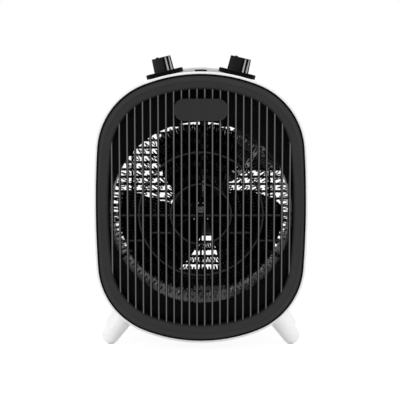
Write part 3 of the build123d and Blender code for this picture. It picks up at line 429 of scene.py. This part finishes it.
def shade_sides(material, dark):
    """Painted shade: darker, towards a colour, wherever a moulding's face turns away from the front."""
    tree = material.node_tree
    base = tree.nodes["Principled BSDF"].inputs["Base Color"]
    normal = tree.nodes.new("ShaderNodeTexCoord").outputs["Normal"]
    facing = node_of(tree, "ShaderNodeSeparateXYZ", Vector=normal).outputs["Y"]
    turned = mapped(tree, facing, SIDE_LIMITS)
    tree.links.new(tint(tree, turned, base.links[0].from_socket, dark), base)


def scaled(colour, factor):
    """Colour made darker or lighter."""
    return tuple(min(1.0, channel * factor) for channel in colour)


def shaded_inside(slot):
    """Colour of a slot, darkened from the record's as painted shade inside the heater."""
    return scaled(COLOUR_OF[slot], SHADE_INSIDE[slot])


def bump(tree, surface, height, depth):
    """Relief of a depth in metres."""
    relief = node_of(tree, "ShaderNodeBump", Height=height, Distance=depth, Strength=1.0)
    tree.links.new(relief.outputs[0], surface.inputs["Normal"])


def uneven_gloss(tree, surface, place, patch, roughness, spread=GLOSS_SPREAD):
    """Roughness that varies in patches of a size in metres."""
    clouds = cloud(tree, place, patch)
    link_gloss(tree, surface, ranged(tree, clouds, roughness - spread, roughness + spread))


def moulded(name, colour, roughness, grain, specular=0.35, mottle=0.06, edge_shading=1.0, edge_shading_size=0.0009):
    """Moulded plastic or rubber: fine grain, clouding, uneven gloss and edges of another shade, a painted
    highlight where paler and a painted shade where darker.
    """
    material, tree, surface, place = new_finish(name, Specular_IOR_Level=specular)
    clouds = ranged(tree, cloud(tree, place, CLOUD_PATCH), 0, 1)
    colours = tint(tree, clouds, scaled(colour, 1 - mottle), scaled(colour, 1 + mottle))
    if edge_shading != 1.0:
        colours = tint(tree, edges(tree, edge_shading_size), colours, scaled(colour, edge_shading))
    link_colour(tree, surface, colours)
    uneven_gloss(tree, surface, place, GLOSS_PATCH, roughness)
    bump(tree, surface, cloud(tree, place, MOULD_GRAIN, 2.0), grain)
    return material


def handled_and_highlit(name, colour, roughness, edge_shading):
    """Smooth plastic paler along its edges: a painted highlight, which also stands for rubbing by fingers."""
    material, tree, surface, place = new_finish(name, Specular_IOR_Level=0.012)
    link_colour(tree, surface, tint(tree, edges(tree, HIGHLIT_EDGE), colour, scaled(colour, edge_shading)))
    uneven_gloss(tree, surface, place, SMALL_PATCH, roughness)
    bump(tree, surface, cloud(tree, place, HAND_GRAIN, 2.0), FINE_RELIEF)
    return material


def brushed(name, colour, roughness, along):
    """Metal with fine drawn lines along an axis: 0 across, 1 back, 2 up."""
    material, tree, surface, place = new_finish(name, Metallic=1.0)
    repeats = [1.0, 1.0, 1.0]
    repeats[along] = DRAWN_STRETCH
    lines = cloud(tree, stretched(tree, place, repeats), DRAWN_LINE, 4.0)
    dull = ranged(tree, cloud(tree, place, DULL_PATCH), 0, 1)
    colours = tint(tree, dull, scaled(colour, 1 - DULLING), scaled(colour, 1 + DULLING))
    link_colour(tree, surface, colours)
    gloss = ranged(tree, lines, roughness - DRAWN_SPREAD, roughness + DRAWN_SPREAD)
    link_gloss(tree, surface, gloss)
    bump(tree, surface, lines, FINE_RELIEF)
    return material


def heated(name, colour, warm, roughness):
    """Resistance wire or sheet, darker where it has run hottest."""
    material, tree, surface, place = new_finish(name, Metallic=1.0)
    patches = ranged(tree, cloud(tree, place, HOT_PATCH), 0, 1)
    link_colour(tree, surface, tint(tree, patches, warm, colour))
    uneven_gloss(tree, surface, place, TINY_PATCH, roughness, HOT_SPREAD)
    bump(tree, surface, cloud(tree, place, HOT_GRAIN), FINE_RELIEF)
    return material


def flaked(name, colour):
    """Pressed mica: overlapping flakes with glints."""
    material, tree, surface, place = new_finish(name, Specular_IOR_Level=0.03)
    flakes = node_of(tree, "ShaderNodeTexVoronoi", Vector=place, Scale=FLAKE_REPEATS)
    grey = node_of(tree, "ShaderNodeRGBToBW", Color=flakes.outputs["Color"]).outputs[0]
    link_colour(tree, surface, tint(tree, grey, scaled(colour, 0.7), scaled(colour, 1.25)))
    link_gloss(tree, surface, ranged(tree, grey, 0.3, 0.6))
    bump(tree, surface, flakes.outputs["Distance"], FLAKE_RELIEF)
    return material


def laminated(name, colour, along):
    """Stacked iron sheets, seen as fine lines across an axis."""
    material, tree, surface, place = new_finish(name, Metallic=0.9)
    sheets = node_of(tree, "ShaderNodeTexWave", Vector=place, Scale=SHEET_REPEATS, Distortion=0.4)
    sheets.bands_direction = "XYZ"[along]
    lines = sheets.outputs["Fac"]
    link_colour(tree, surface, tint(tree, lines, scaled(colour, 0.6), scaled(colour, 1.2)))
    link_gloss(tree, surface, ranged(tree, cloud(tree, place, SMALL_PATCH), 0.4, 0.6))
    bump(tree, surface, lines, SHEET_RELIEF)
    return material


def smoked(name, colour):
    """Dark clear lens over an unlit lamp."""
    clear = {"Coat_Weight": 0.05, "Coat_Roughness": 0.1, "Specular_IOR_Level": 0.05}
    material, tree, surface, place = new_finish(name, **clear)
    depth = ranged(tree, cloud(tree, place, LENS_PATCH), 0, 1)
    link_colour(tree, surface, tint(tree, depth, scaled(colour, 0.2), scaled(colour, 0.5)))
    link_gloss(tree, surface, ranged(tree, cloud(tree, place, TINY_PATCH), 0.12, 0.22))
    return material


def nodes_in(*slots):
    """CAD nodes of these slots, in the record's order."""
    return [node for node, slot in SLOT_OF.items() if slot in slots]


def dress(nodes, material):
    """Gives CAD nodes a finish."""
    for node in nodes:
        slots = frame["nodes"][node].data.materials
        slots.clear()
        slots.append(material)


def mesh_object(name, bm):
    """Object from edited mesh data in millimetres, faces outward and soft below an angle."""
    bmesh.ops.recalc_face_normals(bm, faces=bm.faces)
    bmesh.ops.scale(bm, vec=(MM, MM, MM), verts=bm.verts)
    mesh = bpy.data.meshes.new(name)
    bm.to_mesh(mesh)
    bm.free()
    mesh.shade_smooth()
    mesh.set_sharp_from_angle(angle=SOFT_ANGLE)
    piece = bpy.data.objects.new(name, mesh)
    bpy.context.scene.collection.objects.link(piece)
    return piece


def add_loft(bm, sections):
    """Closed skin through sections of as many points each, with flat ends."""
    rings = [[bm.verts.new(point) for point in section] for section in sections]
    for lower, upper in zip(rings, rings[1:]):
        for i, corner in enumerate(lower):
            bm.faces.new((lower[i - 1], corner, upper[i], upper[i - 1]))
    bm.faces.new(rings[0])
    bm.faces.new(rings[-1])


def add_hoop(bm, loops):
    """Closed skin through loops of as many points each, the last joined to the first."""
    rings = [[bm.verts.new(point) for point in loop] for loop in loops]
    for k, ring in enumerate(rings):
        for i, corner in enumerate(ring):
            bm.faces.new((rings[k - 1][i - 1], ring[i - 1], corner, rings[k - 1][i]))


def add_lathe(bm, profile, steps=96):
    """Closed skin turned about the z axis; the profile starts and ends on it."""
    rings = []
    for radius, height in profile:
        count = steps if radius else 1
        angles = [2 * pi * i / steps for i in range(count)]
        rings.append([bm.verts.new((radius * cos(a), radius * sin(a), height)) for a in angles])
    for lower, upper in zip(rings, rings[1:]):
        for i in range(steps):
            below = (lower[(i - 1) % len(lower)], lower[i % len(lower)])
            above = (upper[i % len(upper)], upper[(i - 1) % len(upper)])
            bm.faces.new(dict.fromkeys(below + above))


def add_tube(bm, path, radius, sides):
    """Round tube along points, with flat ends and no twist."""
    last = len(path) - 1
    spans = [path[min(i + 1, last)] - path[max(i - 1, 0)] for i in range(len(path))]
    tangents = [span.normalized() for span in spans]
    across = tangents[0].orthogonal().normalized()
    sections = []
    for point, tangent in zip(path, tangents):
        across = (across - tangent * across.dot(tangent)).normalized()
        up = tangent.cross(across)
        turns = [2 * pi * i / sides for i in range(sides)]
        sections.append([point + (across * cos(a) + up * sin(a)) * radius for a in turns])
    add_loft(bm, sections)


def rounded_rectangle(width, length, corner, steps=8):
    """Points round a rectangle with round corners, about its middle."""
    points = []
    for quarter, (sx, sy) in enumerate(((1, 1), (-1, 1), (-1, -1), (1, -1))):
        for i in range(steps + 1):
            angle = (quarter + i / steps) * pi / 2
            points.append((
                sx * (width / 2 - corner) + corner * cos(angle),
                sy * (length / 2 - corner) + corner * sin(angle),
            ))
    return points


def bezel_outline(grow):
    """Points round the bezel's three-arc outline, grown by an offset, about its middle."""
    half_width, half_height, r_top, r_side, r_corner = (value + grow for value in BEZEL_ARCS)
    top = Vector((0, half_height - r_top))
    side = Vector((half_width - r_side, 0))
    gap = (side - top).length
    along = (side - top) / gap
    reach = ((r_top - r_corner) ** 2 - (r_side - r_corner) ** 2 + gap**2) / (2 * gap)
    out = sqrt((r_top - r_corner) ** 2 - reach**2)
    corner = top + along * reach + Vector((along.y, -along.x)) * out
    low = atan2(*reversed(corner - side))
    high = atan2(*reversed(corner - top))
    arcs = ((side, r_side, 0, low), (corner, r_corner, low, high), (top, r_top, high, pi / 2))
    quarter = []
    for middle, radius, start, end in arcs:
        turns = [start + (end - start) * (i + 0.5) / ARC_STEPS for i in range(ARC_STEPS)]
        quarter += [middle + Vector((cos(a), sin(a))) * radius for a in turns]
    upper = quarter + [Vector((-point.x, point.y)) for point in reversed(quarter)]
    return upper + [-point for point in upper]


def joined(name, solids):
    """One skin from overlapping closed solids, which are used up."""
    base = solids[0]
    for other in solids[1:]:
        union = base.modifiers.new(other.name, "BOOLEAN")
        union.operation = "UNION"
        union.solver = "EXACT"
        union.object = other
    bpy.context.view_layer.update()
    solved = base.evaluated_get(bpy.context.evaluated_depsgraph_get())
    mesh = bpy.data.meshes.new_from_object(solved)
    for solid in solids:
        bpy.data.objects.remove(solid)
    mesh.name = name
    piece = bpy.data.objects.new(name, mesh)
    bpy.context.scene.collection.objects.link(piece)
    return piece


def place_piece(piece, material, body, slot, *nodes):
    """Gives a new piece its finish and its body, and hides the nodes that it stands for; its slot is not used."""
    piece.data.materials.clear()
    piece.data.materials.append(material)
    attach(piece, body)
    if nodes:
        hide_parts(*nodes)


def dial_matrix(joint):
    """Frame on a dial's axis: x across, y to the back, z up out of the shell."""
    up = -Vector(joint["axis"])
    back = Vector((0, 1, 0))
    across = back.cross(up)
    matrix = Matrix((across, back, up)).transposed().to_4x4()
    matrix.translation = Vector(joint["pos_m"])
    return matrix


class HEATER_OT_casing(Operator):
    """Finish the white shell, the handle and its finger well, and the feet"""

    bl_idname = "heater.casing"
    bl_label = "Casing"

    def execute(self, context):
        look = context.scene.heater_finishes
        white = moulded("satin_white", look.shell, 0.36, look.grain * 0.4, specular=0.35, mottle=0.012)
        dress(("housing_shell", "handle_well"), white)
        # Painted shade: the handle is painted grey for white plastic in shade, its edges painted paler as
        # highlight
        grey = moulded(
            "handle_grey", look.handle, 0.4, look.grain * 0.6, specular=0.4, mottle=0.03, edge_shading=1.15
        )
        dress(("carry_handle",), grey)
        pegs = moulded("peg_white", look.foot, 0.4, look.grain * 0.4, specular=0.5, mottle=0.015)
        dress(nodes_in("foot_white"), pegs)
        pads = moulded("pad_rubber", PAD_GREY, 0.75, look.grain * 2, specular=0.25)
        dress(("foot_pads",), pads)
        return {"FINISHED"}


class HEATER_OT_grille(Operator):
    """Finish the front grille and add its bare plate and a black strip painted as the shadow in the seam round it
    """

    bl_idname = "heater.grille"
    bl_label = "Front grille"

    def execute(self, context):
        look = context.scene.heater_finishes
        # Painted highlight: the bare plate's edges are painted 1.8 times paler than its black
        black = moulded(
            "bezel_black", scaled(look.grille, PLATE_FACTOR), 0.5, look.grain, specular=0.06, edge_shading=1.8
        )
        # Painted shade: the grille's edges and rounds darken to a twentieth of its black, and faces turning from
        # the front darken further
        slatted = moulded(
            "grille_black", look.grille, 0.5, look.grain, specular=0.06, edge_shading=0.05, edge_shading_size=0.004
        )
        shade_sides(slatted, scaled(look.grille, SIDE_SHADE_FACTOR))
        # Painted highlights on the fronts of the slats and of the ties
        paint_front_highlight(slatted, SLAT_FRONT * MM, look.slat_highlight)
        paint_front_highlight(slatted, TIE_FRONT * MM, look.tie)
        dress(("front_grille",), slatted)
        front, middle = BEZEL_FRONT / MM, BEZEL_MIDDLE / MM
        bm = bmesh.new()
        sections = []
        for inset, depth in BADGE_STEPS:
            width, height = (side - 2 * inset for side in BADGE_SIZE)
            outline = rounded_rectangle(width, height, BADGE_CORNER - inset)
            sections.append([(x, front + depth, middle + BADGE_RISE + z) for x, z in outline])
        add_loft(bm, sections)
        place_piece(mesh_object("badge_plate", bm), black, "casing", "grille_black")
        # Painted shadow: a black strip in the seam round the bezel
        bm = bmesh.new()
        add_hoop(bm, [
            [(x, front + depth, middle + z) for x, z in bezel_outline(grow)]
            for grow, depth in SEAM_SHADOW_SECTION
        ])
        rubber_and_shadow = moulded("seam_black", look.seam, 0.7, look.grain, specular=0.02)
        place_piece(mesh_object("bezel_seam", bm), rubber_and_shadow, "casing", "grille_black")
        return {"FINISHED"}


class HEATER_OT_coils(Operator):
    """Wind the heating coils with closer curls than their solids have"""

    bl_idname = "heater.coils"
    bl_label = "Heating coils"

    def execute(self, context):
        look = context.scene.heater_finishes
        size = context.scene.heater_sizes
        # Painted shade: the inner rings' wire is a darker copy of the outer ring's
        wires = {
            "element_wire": heated("element_wire", look.wire, scaled(look.wire, 0.8), 0.3),
            "element_wire_dark": heated(
                "element_wire_dark", look.shaded_wire, scaled(look.shaded_wire, 0.6), 0.5
            ),
        }
        for node in nodes_in(*wires):
            bm = bmesh.new()
            add_tube(bm, self.path(node, size), size.wire / MM / 2, WIRE_SIDES)
            coil = mesh_object(node.replace("heating", "wound"), bm)
            place_piece(coil, wires[SLOT_OF[node]], "casing", SLOT_OF[node], node)
        return {"FINISHED"}

    def path(self, node, size):
        """Curls round the duct between two straight leads, in millimetres."""
        low, high = (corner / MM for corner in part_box(node))
        margin = SOLID_CURL + SOLID_WIRE / 2
        ring = (high.x - low.x) / 2 - margin
        middle = Vector((0, low.y + margin, AXIS.z / MM))
        gap = COIL_GAP / ring
        pitches = {"heating_coil_outer": size.outer_pitch, "heating_coil_inner": size.inner_pitch}
        pitch = pitches.get(node, size.curl_pitch)
        curls = round((2 * pi - 2 * gap) * ring / (pitch / MM))
        steps = curls * size.curl_steps
        points = []
        for step in range(steps + 1):
            around = pi / 2 + gap + (2 * pi - 2 * gap) * step / steps
            curl = pi + 2 * pi * (curls - 0.5) * step / steps
            open_up = min(1.0, step / size.curl_steps, (steps - step) / size.curl_steps)
            radius = SOLID_CURL + (size.curl / MM - SOLID_CURL) * open_up
            reach = ring + radius * cos(curl)
            offset = Vector((reach * cos(around), radius * sin(curl), reach * sin(around)))
            points.append(middle + offset)
        first, last = (Vector((end.x, high.y, end.z)) for end in (points[0], points[-1]))
        return [first, first.lerp(points[0], 0.5), *points, last.lerp(points[-1], 0.5), last]


class HEATER_OT_element(Operator):
    """Finish the duct, the baffle and what carries the coils, and the cut-outs"""

    bl_idname = "heater.element"
    bl_label = "Duct and element"

    def execute(self, context):
        look = context.scene.heater_finishes
        # Painted shade: the duct is painted near black, as in shade
        dress(("heat_duct",), heated("duct_steel", look.duct, scaled(look.duct, 0.8), 0.42))
        dress(("baffle_plate",), moulded("baffle_black", look.baffle, 0.7, look.grain, specular=0.1))
        # Painted shade: the mica, the hub and the lugs are painted darker than their record's colours
        dress(nodes_in("mica"), flaked("mica", shaded_inside("mica")))
        hub = moulded("hub_ceramic", shaded_inside("hub_ceramic"), 0.5, look.grain, specular=0.02)
        dress(("element_hub",), hub)
        dress(("element_lugs",), brushed("lug_metal", shaded_inside("lug_metal"), 0.5, 1))
        dress(("thermal_fuse",), brushed("fuse_steel", COLOUR_OF["bracket_steel"], 0.38, 2))
        # Painted shade on the cut-out bracket's plate, and a painted highlight, three times the record's grey, on
        # its strap's front
        plate = shaded_inside("cutout_steel")
        sheet = heated("cutout_steel", plate, scaled(plate, 0.7), 0.45)
        paint_front_highlight(sheet, STRAP_FRONT * MM, scaled(COLOUR_OF["cutout_steel"], STRAP_HIGHLIGHT_FACTOR))
        dress(("cutout_bracket",), sheet)
        cutout = moulded("cutout_dark", COLOUR_OF["cutout_dark"], 0.4, look.grain, specular=0.4)
        dress(("thermal_cutout",), cutout)
        return {"FINISHED"}


class HEATER_OT_fan(Operator):
    """Finish the fan and the motor, and wind the motor's coil"""

    bl_idname = "heater.fan"
    bl_label = "Fan and motor"

    def execute(self, context):
        look = context.scene.heater_finishes
        dress(("fan",), moulded("fan_black", look.fan, 0.6, look.grain, specular=0.01))
        dress(("fan_clip",), brushed("clip_steel", COLOUR_OF["screw_steel"], 0.3, 0))
        # Painted shade: the shaft, the core and the rotor are painted darker than their record's colours
        dress(("motor_shaft",), brushed("shaft_steel", shaded_inside("shaft_steel"), 0.3, 2))
        dress(("motor_core", "motor_rotor"), laminated("core_iron", shaded_inside("core_iron"), 1))
        pale = moulded("bobbin_plastic", COLOUR_OF["bobbin_plastic"], 0.5, look.grain, specular=0.4)
        dress(("motor_bobbin",), pale)
        plated = brushed("motor_bracket_steel", COLOUR_OF["bracket_steel"], 0.36, 0)
        dress(("motor_bracket_rear",), plated)
        # Painted shade: the front bracket is the rear bracket's steel, painted darker as in shade behind the fan
        dark = brushed("motor_bracket_dark", shaded_inside("bracket_steel"), 0.5, 0)
        dress(("motor_bracket_front",), dark)
        bronze = brushed("bearing_bronze", COLOUR_OF["bearing_bronze"], 0.4, 1)
        dress(("bearing_front", "bearing_rear"), bronze)
        shade = COLOUR_OF["winding_copper"]
        copper = heated("winding_copper", shade, scaled(shade, 0.6), 0.35)
        place_piece(self.winding(), copper, "casing", "winding_copper", "motor_winding")
        return {"FINISHED"}

    def winding(self):
        """Outer layer of turns over a plain core, between the bobbin's cheeks."""
        low, high = (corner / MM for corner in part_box("motor_winding"))
        middle = (low + high) / 2
        deep, tall = high.y - low.y - TURN_WIRE, high.z - low.z - TURN_WIRE
        outline = rounded_rectangle(deep, tall, TURN_CORNER, TURN_STEPS)
        loop = [middle + Vector((0, y, z)) for y, z in outline]
        turns = int((high.x - low.x - 2 * TURN_WIRE) / TURN_PITCH)
        start = -turns * TURN_PITCH / 2
        path = [
            loop[i % len(loop)] + Vector((start + TURN_PITCH * i / len(loop), 0, 0))
            for i in range(turns * len(loop) + 1)
        ]
        bm = bmesh.new()
        ends = (low.x + CORE_INSET, high.x - CORE_INSET)
        add_loft(bm, [[point + Vector((x, 0, 0)) for point in loop] for x in ends])
        add_tube(bm, path, TURN_WIRE / 2, TURN_SIDES)
        return mesh_object("wound_motor_coil", bm)


class HEATER_OT_dials(Operator):
    """Make the two dials and finish what they turn in"""

    bl_idname = "heater.dials"
    bl_label = "Dials"

    def execute(self, context):
        look = context.scene.heater_finishes
        # Painted highlight: the dials' edges are painted five times paler than their black
        black = handled_and_highlit("dial_black", look.dial, 0.4, 5.0)
        pale = moulded(
            "pointer_grey", COLOUR_OF["pointer_grey"], 0.4, look.grain * 0.4, specular=0.3, mottle=0.03
        )
        dress(("thermostat_pointer", "selector_pointer"), pale)
        for body in ("thermostat", "selector"):
            knob = self.knob(f"{body}_knob")
            knob.data.transform(dial_matrix(JOINTS[f"{body}_turn"]))
            place_piece(knob, black, body, "dial_black", f"{body}_dial")
        steel = brushed("spindle_steel", COLOUR_OF["shaft_steel"], 0.3, 2)
        dress(("thermostat_spindle", "selector_spindle"), steel)
        # Painted shade: the brass bushes are painted darker than their record's colour
        brass = brushed("bush_brass", shaded_inside("bush_brass"), 0.42, 2)
        dress(nodes_in("bush_brass"), brass)
        dress(("thermostat_leaf",), brushed("leaf_metal", COLOUR_OF["leaf_metal"], 0.35, 2))
        dark = moulded("control_dark", COLOUR_OF["control_dark"], 0.5, look.grain)
        dress(("thermostat_body", "selector_body", "gland_nut"), dark)
        return {"FINISHED"}

    def knob(self, name):
        """Round skirt and tapered bar grip with a pip on top."""
        skirt, grip, pip = bmesh.new(), bmesh.new(), bmesh.new()
        add_lathe(skirt, SKIRT_PROFILE)
        turn = Matrix.Rotation(GRIP_TURN, 3, "Z")
        steps = [(0.0, height) for height in (GRIP_FOOT, GRIP_LOW, GRIP_TOP - GRIP_SHOULDER)]
        for turned in (0.0, pi / 6, pi / 3, pi / 2):
            inset = GRIP_ROUND - GRIP_ROUND * cos(turned)
            steps.append((inset, GRIP_TOP - GRIP_ROUND + GRIP_ROUND * sin(turned)))
        sections = []
        for inset, height in steps:
            shrink = 2 * (inset + (height - GRIP_FOOT) * GRIP_TAPER)
            width, length = (side - shrink for side in GRIP_SIZE)
            outline = rounded_rectangle(width, length, GRIP_CORNER, GRIP_STEPS)
            sections.append([turn @ Vector((x, y, height)) for x, y in outline])
        add_loft(grip, sections)
        solids = [mesh_object(f"{name}_skirt", skirt), mesh_object(f"{name}_grip", grip)]
        steps = [(0.0, GRIP_TOP - PIP_SINK), *((inset, PIP_TOP - down) for inset, down in PIP_STEPS)]
        sections = []
        for inset, height in steps:
            width, length = (side - 2 * inset for side in PIP_SIZE)
            outline = rounded_rectangle(width, length, PIP_CORNER - inset, GRIP_STEPS)
            sections.append([turn @ Vector((x, PIP_BACK + y, height)) for x, y in outline])
        add_loft(pip, sections)
        solids.append(mesh_object(f"{name}_pip", pip))
        return joined(name, solids)


class HEATER_OT_lamp(Operator):
    """Make the lamp's lens and finish its holder"""

    bl_idname = "heater.lamp"
    bl_label = "Lamp"

    def execute(self, context):
        low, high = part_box("lamp_lens")
        bm = bmesh.new()
        add_lathe(bm, LENS_PROFILE, LENS_STEPS)
        lens = mesh_object("lamp_dome", bm)
        seat = (low + high) / 2
        seat.z = low.z - LENS_PROFILE[0][1] * MM
        lens.data.transform(Matrix.Translation(seat))
        clear = smoked("lamp_dark", COLOUR_OF["lamp_dark"])
        place_piece(lens, clear, "casing", "lamp_dark", "lamp_lens")
        grain = context.scene.heater_finishes.grain
        plastic = moulded("block_plastic", COLOUR_OF["block_plastic"], 0.45, grain)
        dress(("lamp_holder", "terminal_block"), plastic)
        return {"FINISHED"}


class HEATER_OT_back(Operator):
    """Finish the louvred cover, the screws and the cord gland"""

    bl_idname = "heater.back"
    bl_label = "Back"

    def execute(self, context):
        look = context.scene.heater_finishes
        dress(("rear_cover",), moulded("cover_black", look.cover, 0.52, look.grain, specular=0.3))
        steel = brushed("screw_steel", COLOUR_OF["screw_steel"], 0.34, 0)
        dress([node for node in nodes_in("screw_steel") if node != "fan_clip"], steel)
        rubber_and_shadow = moulded("gland_rubber", COLOUR_OF["gland_rubber"], 0.65, look.grain, specular=0.2)
        dress(("cord_gland",), rubber_and_shadow)
        return {"FINISHED"}


class HEATER_OT_stage(Operator):
    """Set the camera, the floor, the lamps and the white surroundings"""

    bl_idname = "heater.stage"
    bl_label = "Stage"

    def execute(self, context):
        scene = context.scene
        stage = scene.heater_stage
        scene.view_settings.view_transform = "Standard"
        self.camera(scene, stage)
        self.surroundings(scene, stage)
        self.floor()
        middle = Vector((0, 0, BEZEL_MIDDLE))
        for name, (place, size) in LAMPS.items():
            self.lamp(scene, f"{name}_lamp", Vector(place), middle, size, getattr(stage, name))
        return {"FINISHED"}

    def camera(self, scene, stage):
        """Long lens, looking slightly down at the bezel."""
        camera = bpy.data.objects.new("camera", bpy.data.cameras.new("camera"))
        scene.collection.objects.link(camera)
        ahead = Vector((0, cos(stage.rise), -sin(stage.rise)))
        up = Vector((0, sin(stage.rise), cos(stage.rise)))
        bezel = Vector((0, BEZEL_FRONT, BEZEL_MIDDLE))
        camera.location = bezel - ahead * stage.distance
        aim = bezel + Vector((1, 0, 0)) * stage.aim[0] + up * stage.aim[1]
        camera.rotation_euler = (aim - camera.location).to_track_quat("-Z", "Y").to_euler()
        camera.data.sensor_width = SENSOR
        camera.data.lens = SENSOR * stage.distance / stage.field
        camera.data.clip_end = SIGHT
        scene.camera = camera

    def seen(self, tree):
        """One where the ray comes from the camera, from a gloss or through something clear."""
        rays = tree.nodes.new("ShaderNodeLightPath")
        total = rays.outputs["Is Camera Ray"]
        for label in ("Is Glossy Ray", "Is Transmission Ray"):
            either = tree.nodes.new("ShaderNodeMath")
            either.operation = "MAXIMUM"
            tree.links.new(total, either.inputs[0])
            tree.links.new(rays.outputs[label], either.inputs[1])
            total = either.outputs[0]
        return total

    def surroundings(self, scene, stage):
        """Even light all round that shows as white."""
        world = bpy.data.worlds.new("studio")
        world.use_nodes = True
        scene.world = world
        tree = world.node_tree
        light = tree.nodes["Background"]
        light.inputs["Color"].default_value = WHITE
        light.inputs["Strength"].default_value = stage.sky
        white = node_of(tree, "ShaderNodeBackground", Color=WHITE, Strength=1.0)
        mix = tree.nodes.new("ShaderNodeMixShader")
        tree.links.new(self.seen(tree), mix.inputs[0])
        tree.links.new(light.outputs[0], mix.inputs[1])
        tree.links.new(white.outputs[0], mix.inputs[2])
        tree.links.new(mix.outputs[0], tree.nodes["World Output"].inputs["Surface"])

    def floor(self):
        """Wide pale floor that keeps a faint shadow."""
        bm = bmesh.new()
        bmesh.ops.create_grid(bm, x_segments=1, y_segments=1, size=FLOOR_HALF / MM)
        floor = mesh_object("floor", bm)
        material = bpy.data.materials.new("pale_floor")
        material.use_nodes = True
        tree = material.node_tree
        tree.nodes.remove(tree.nodes["Principled BSDF"])
        matt = node_of(tree, "ShaderNodeBsdfDiffuse", Color=FLOOR_WHITE)
        faint = node_of(tree, "ShaderNodeBsdfDiffuse", Color=FLOOR_FAINT)
        glow = node_of(tree, "ShaderNodeEmission", Color=WHITE, Strength=FLOOR_GLOW)
        white = tree.nodes.new("ShaderNodeAddShader")
        tree.links.new(faint.outputs[0], white.inputs[0])
        tree.links.new(glow.outputs[0], white.inputs[1])
        mix = tree.nodes.new("ShaderNodeMixShader")
        tree.links.new(self.seen(tree), mix.inputs[0])
        tree.links.new(matt.outputs[0], mix.inputs[1])
        tree.links.new(white.outputs[0], mix.inputs[2])
        tree.links.new(mix.outputs[0], tree.nodes["Material Output"].inputs["Surface"])
        floor.data.materials.append(material)

    def lamp(self, scene, name, place, aim, size, power):
        """Soft lamp of a width and a height."""
        lamp = bpy.data.objects.new(name, bpy.data.lights.new(name, "AREA"))
        lamp.data.shape = "RECTANGLE"
        lamp.data.size, lamp.data.size_y = size
        lamp.data.energy = power
        lamp.location = place
        lamp.rotation_euler = (aim - place).to_track_quat("-Z", "Y").to_euler()
        lamp.visible_camera = False
        scene.collection.objects.link(lamp)


class HEATER_PT_panel(Panel):
    """Sizes, finishes and steps of the heater"""

    bl_idname = "HEATER_PT_panel"
    bl_label = "Fan Heater"
    bl_space_type = "VIEW_3D"
    bl_region_type = "UI"
    bl_category = "Heater"

    def draw(self, context):
        for group in GROUPS:
            values = getattr(context.scene, group)
            box = self.layout.box()
            for name in values.bl_rna.properties.keys():
                if name not in ("rna_type", "name"):
                    box.prop(values, name)
        for step in STEPS:
            self.layout.operator(step.bl_idname)


GROUPS = {"heater_finishes": HeaterFinishes, "heater_sizes": HeaterSizes, "heater_stage": HeaterStage}
STEPS = (
    HEATER_OT_casing, HEATER_OT_grille, HEATER_OT_coils, HEATER_OT_element, HEATER_OT_fan,
    HEATER_OT_dials, HEATER_OT_lamp, HEATER_OT_back, HEATER_OT_stage,
)


def register():
    """Registers the groups, the steps and the panel."""
    for name, group in GROUPS.items():
        bpy.utils.register_class(group)
        setattr(bpy.types.Scene, name, PointerProperty(type=group))
    for item in (*STEPS, HEATER_PT_panel):
        bpy.utils.register_class(item)


def unregister():
    """Takes the panel, the steps and the groups away again."""
    for item in (HEATER_PT_panel, *reversed(STEPS)):
        bpy.utils.unregister_class(item)
    for name, group in GROUPS.items():
        delattr(bpy.types.Scene, name)
        bpy.utils.unregister_class(group)


def main():
    """Runs every step in order."""
    register()
    for step in STEPS:
        family, name = step.bl_idname.split(".")
        getattr(getattr(bpy.ops, family), name)()
    bpy.context.view_layer.update()


if __name__ == "__main__":
    main()
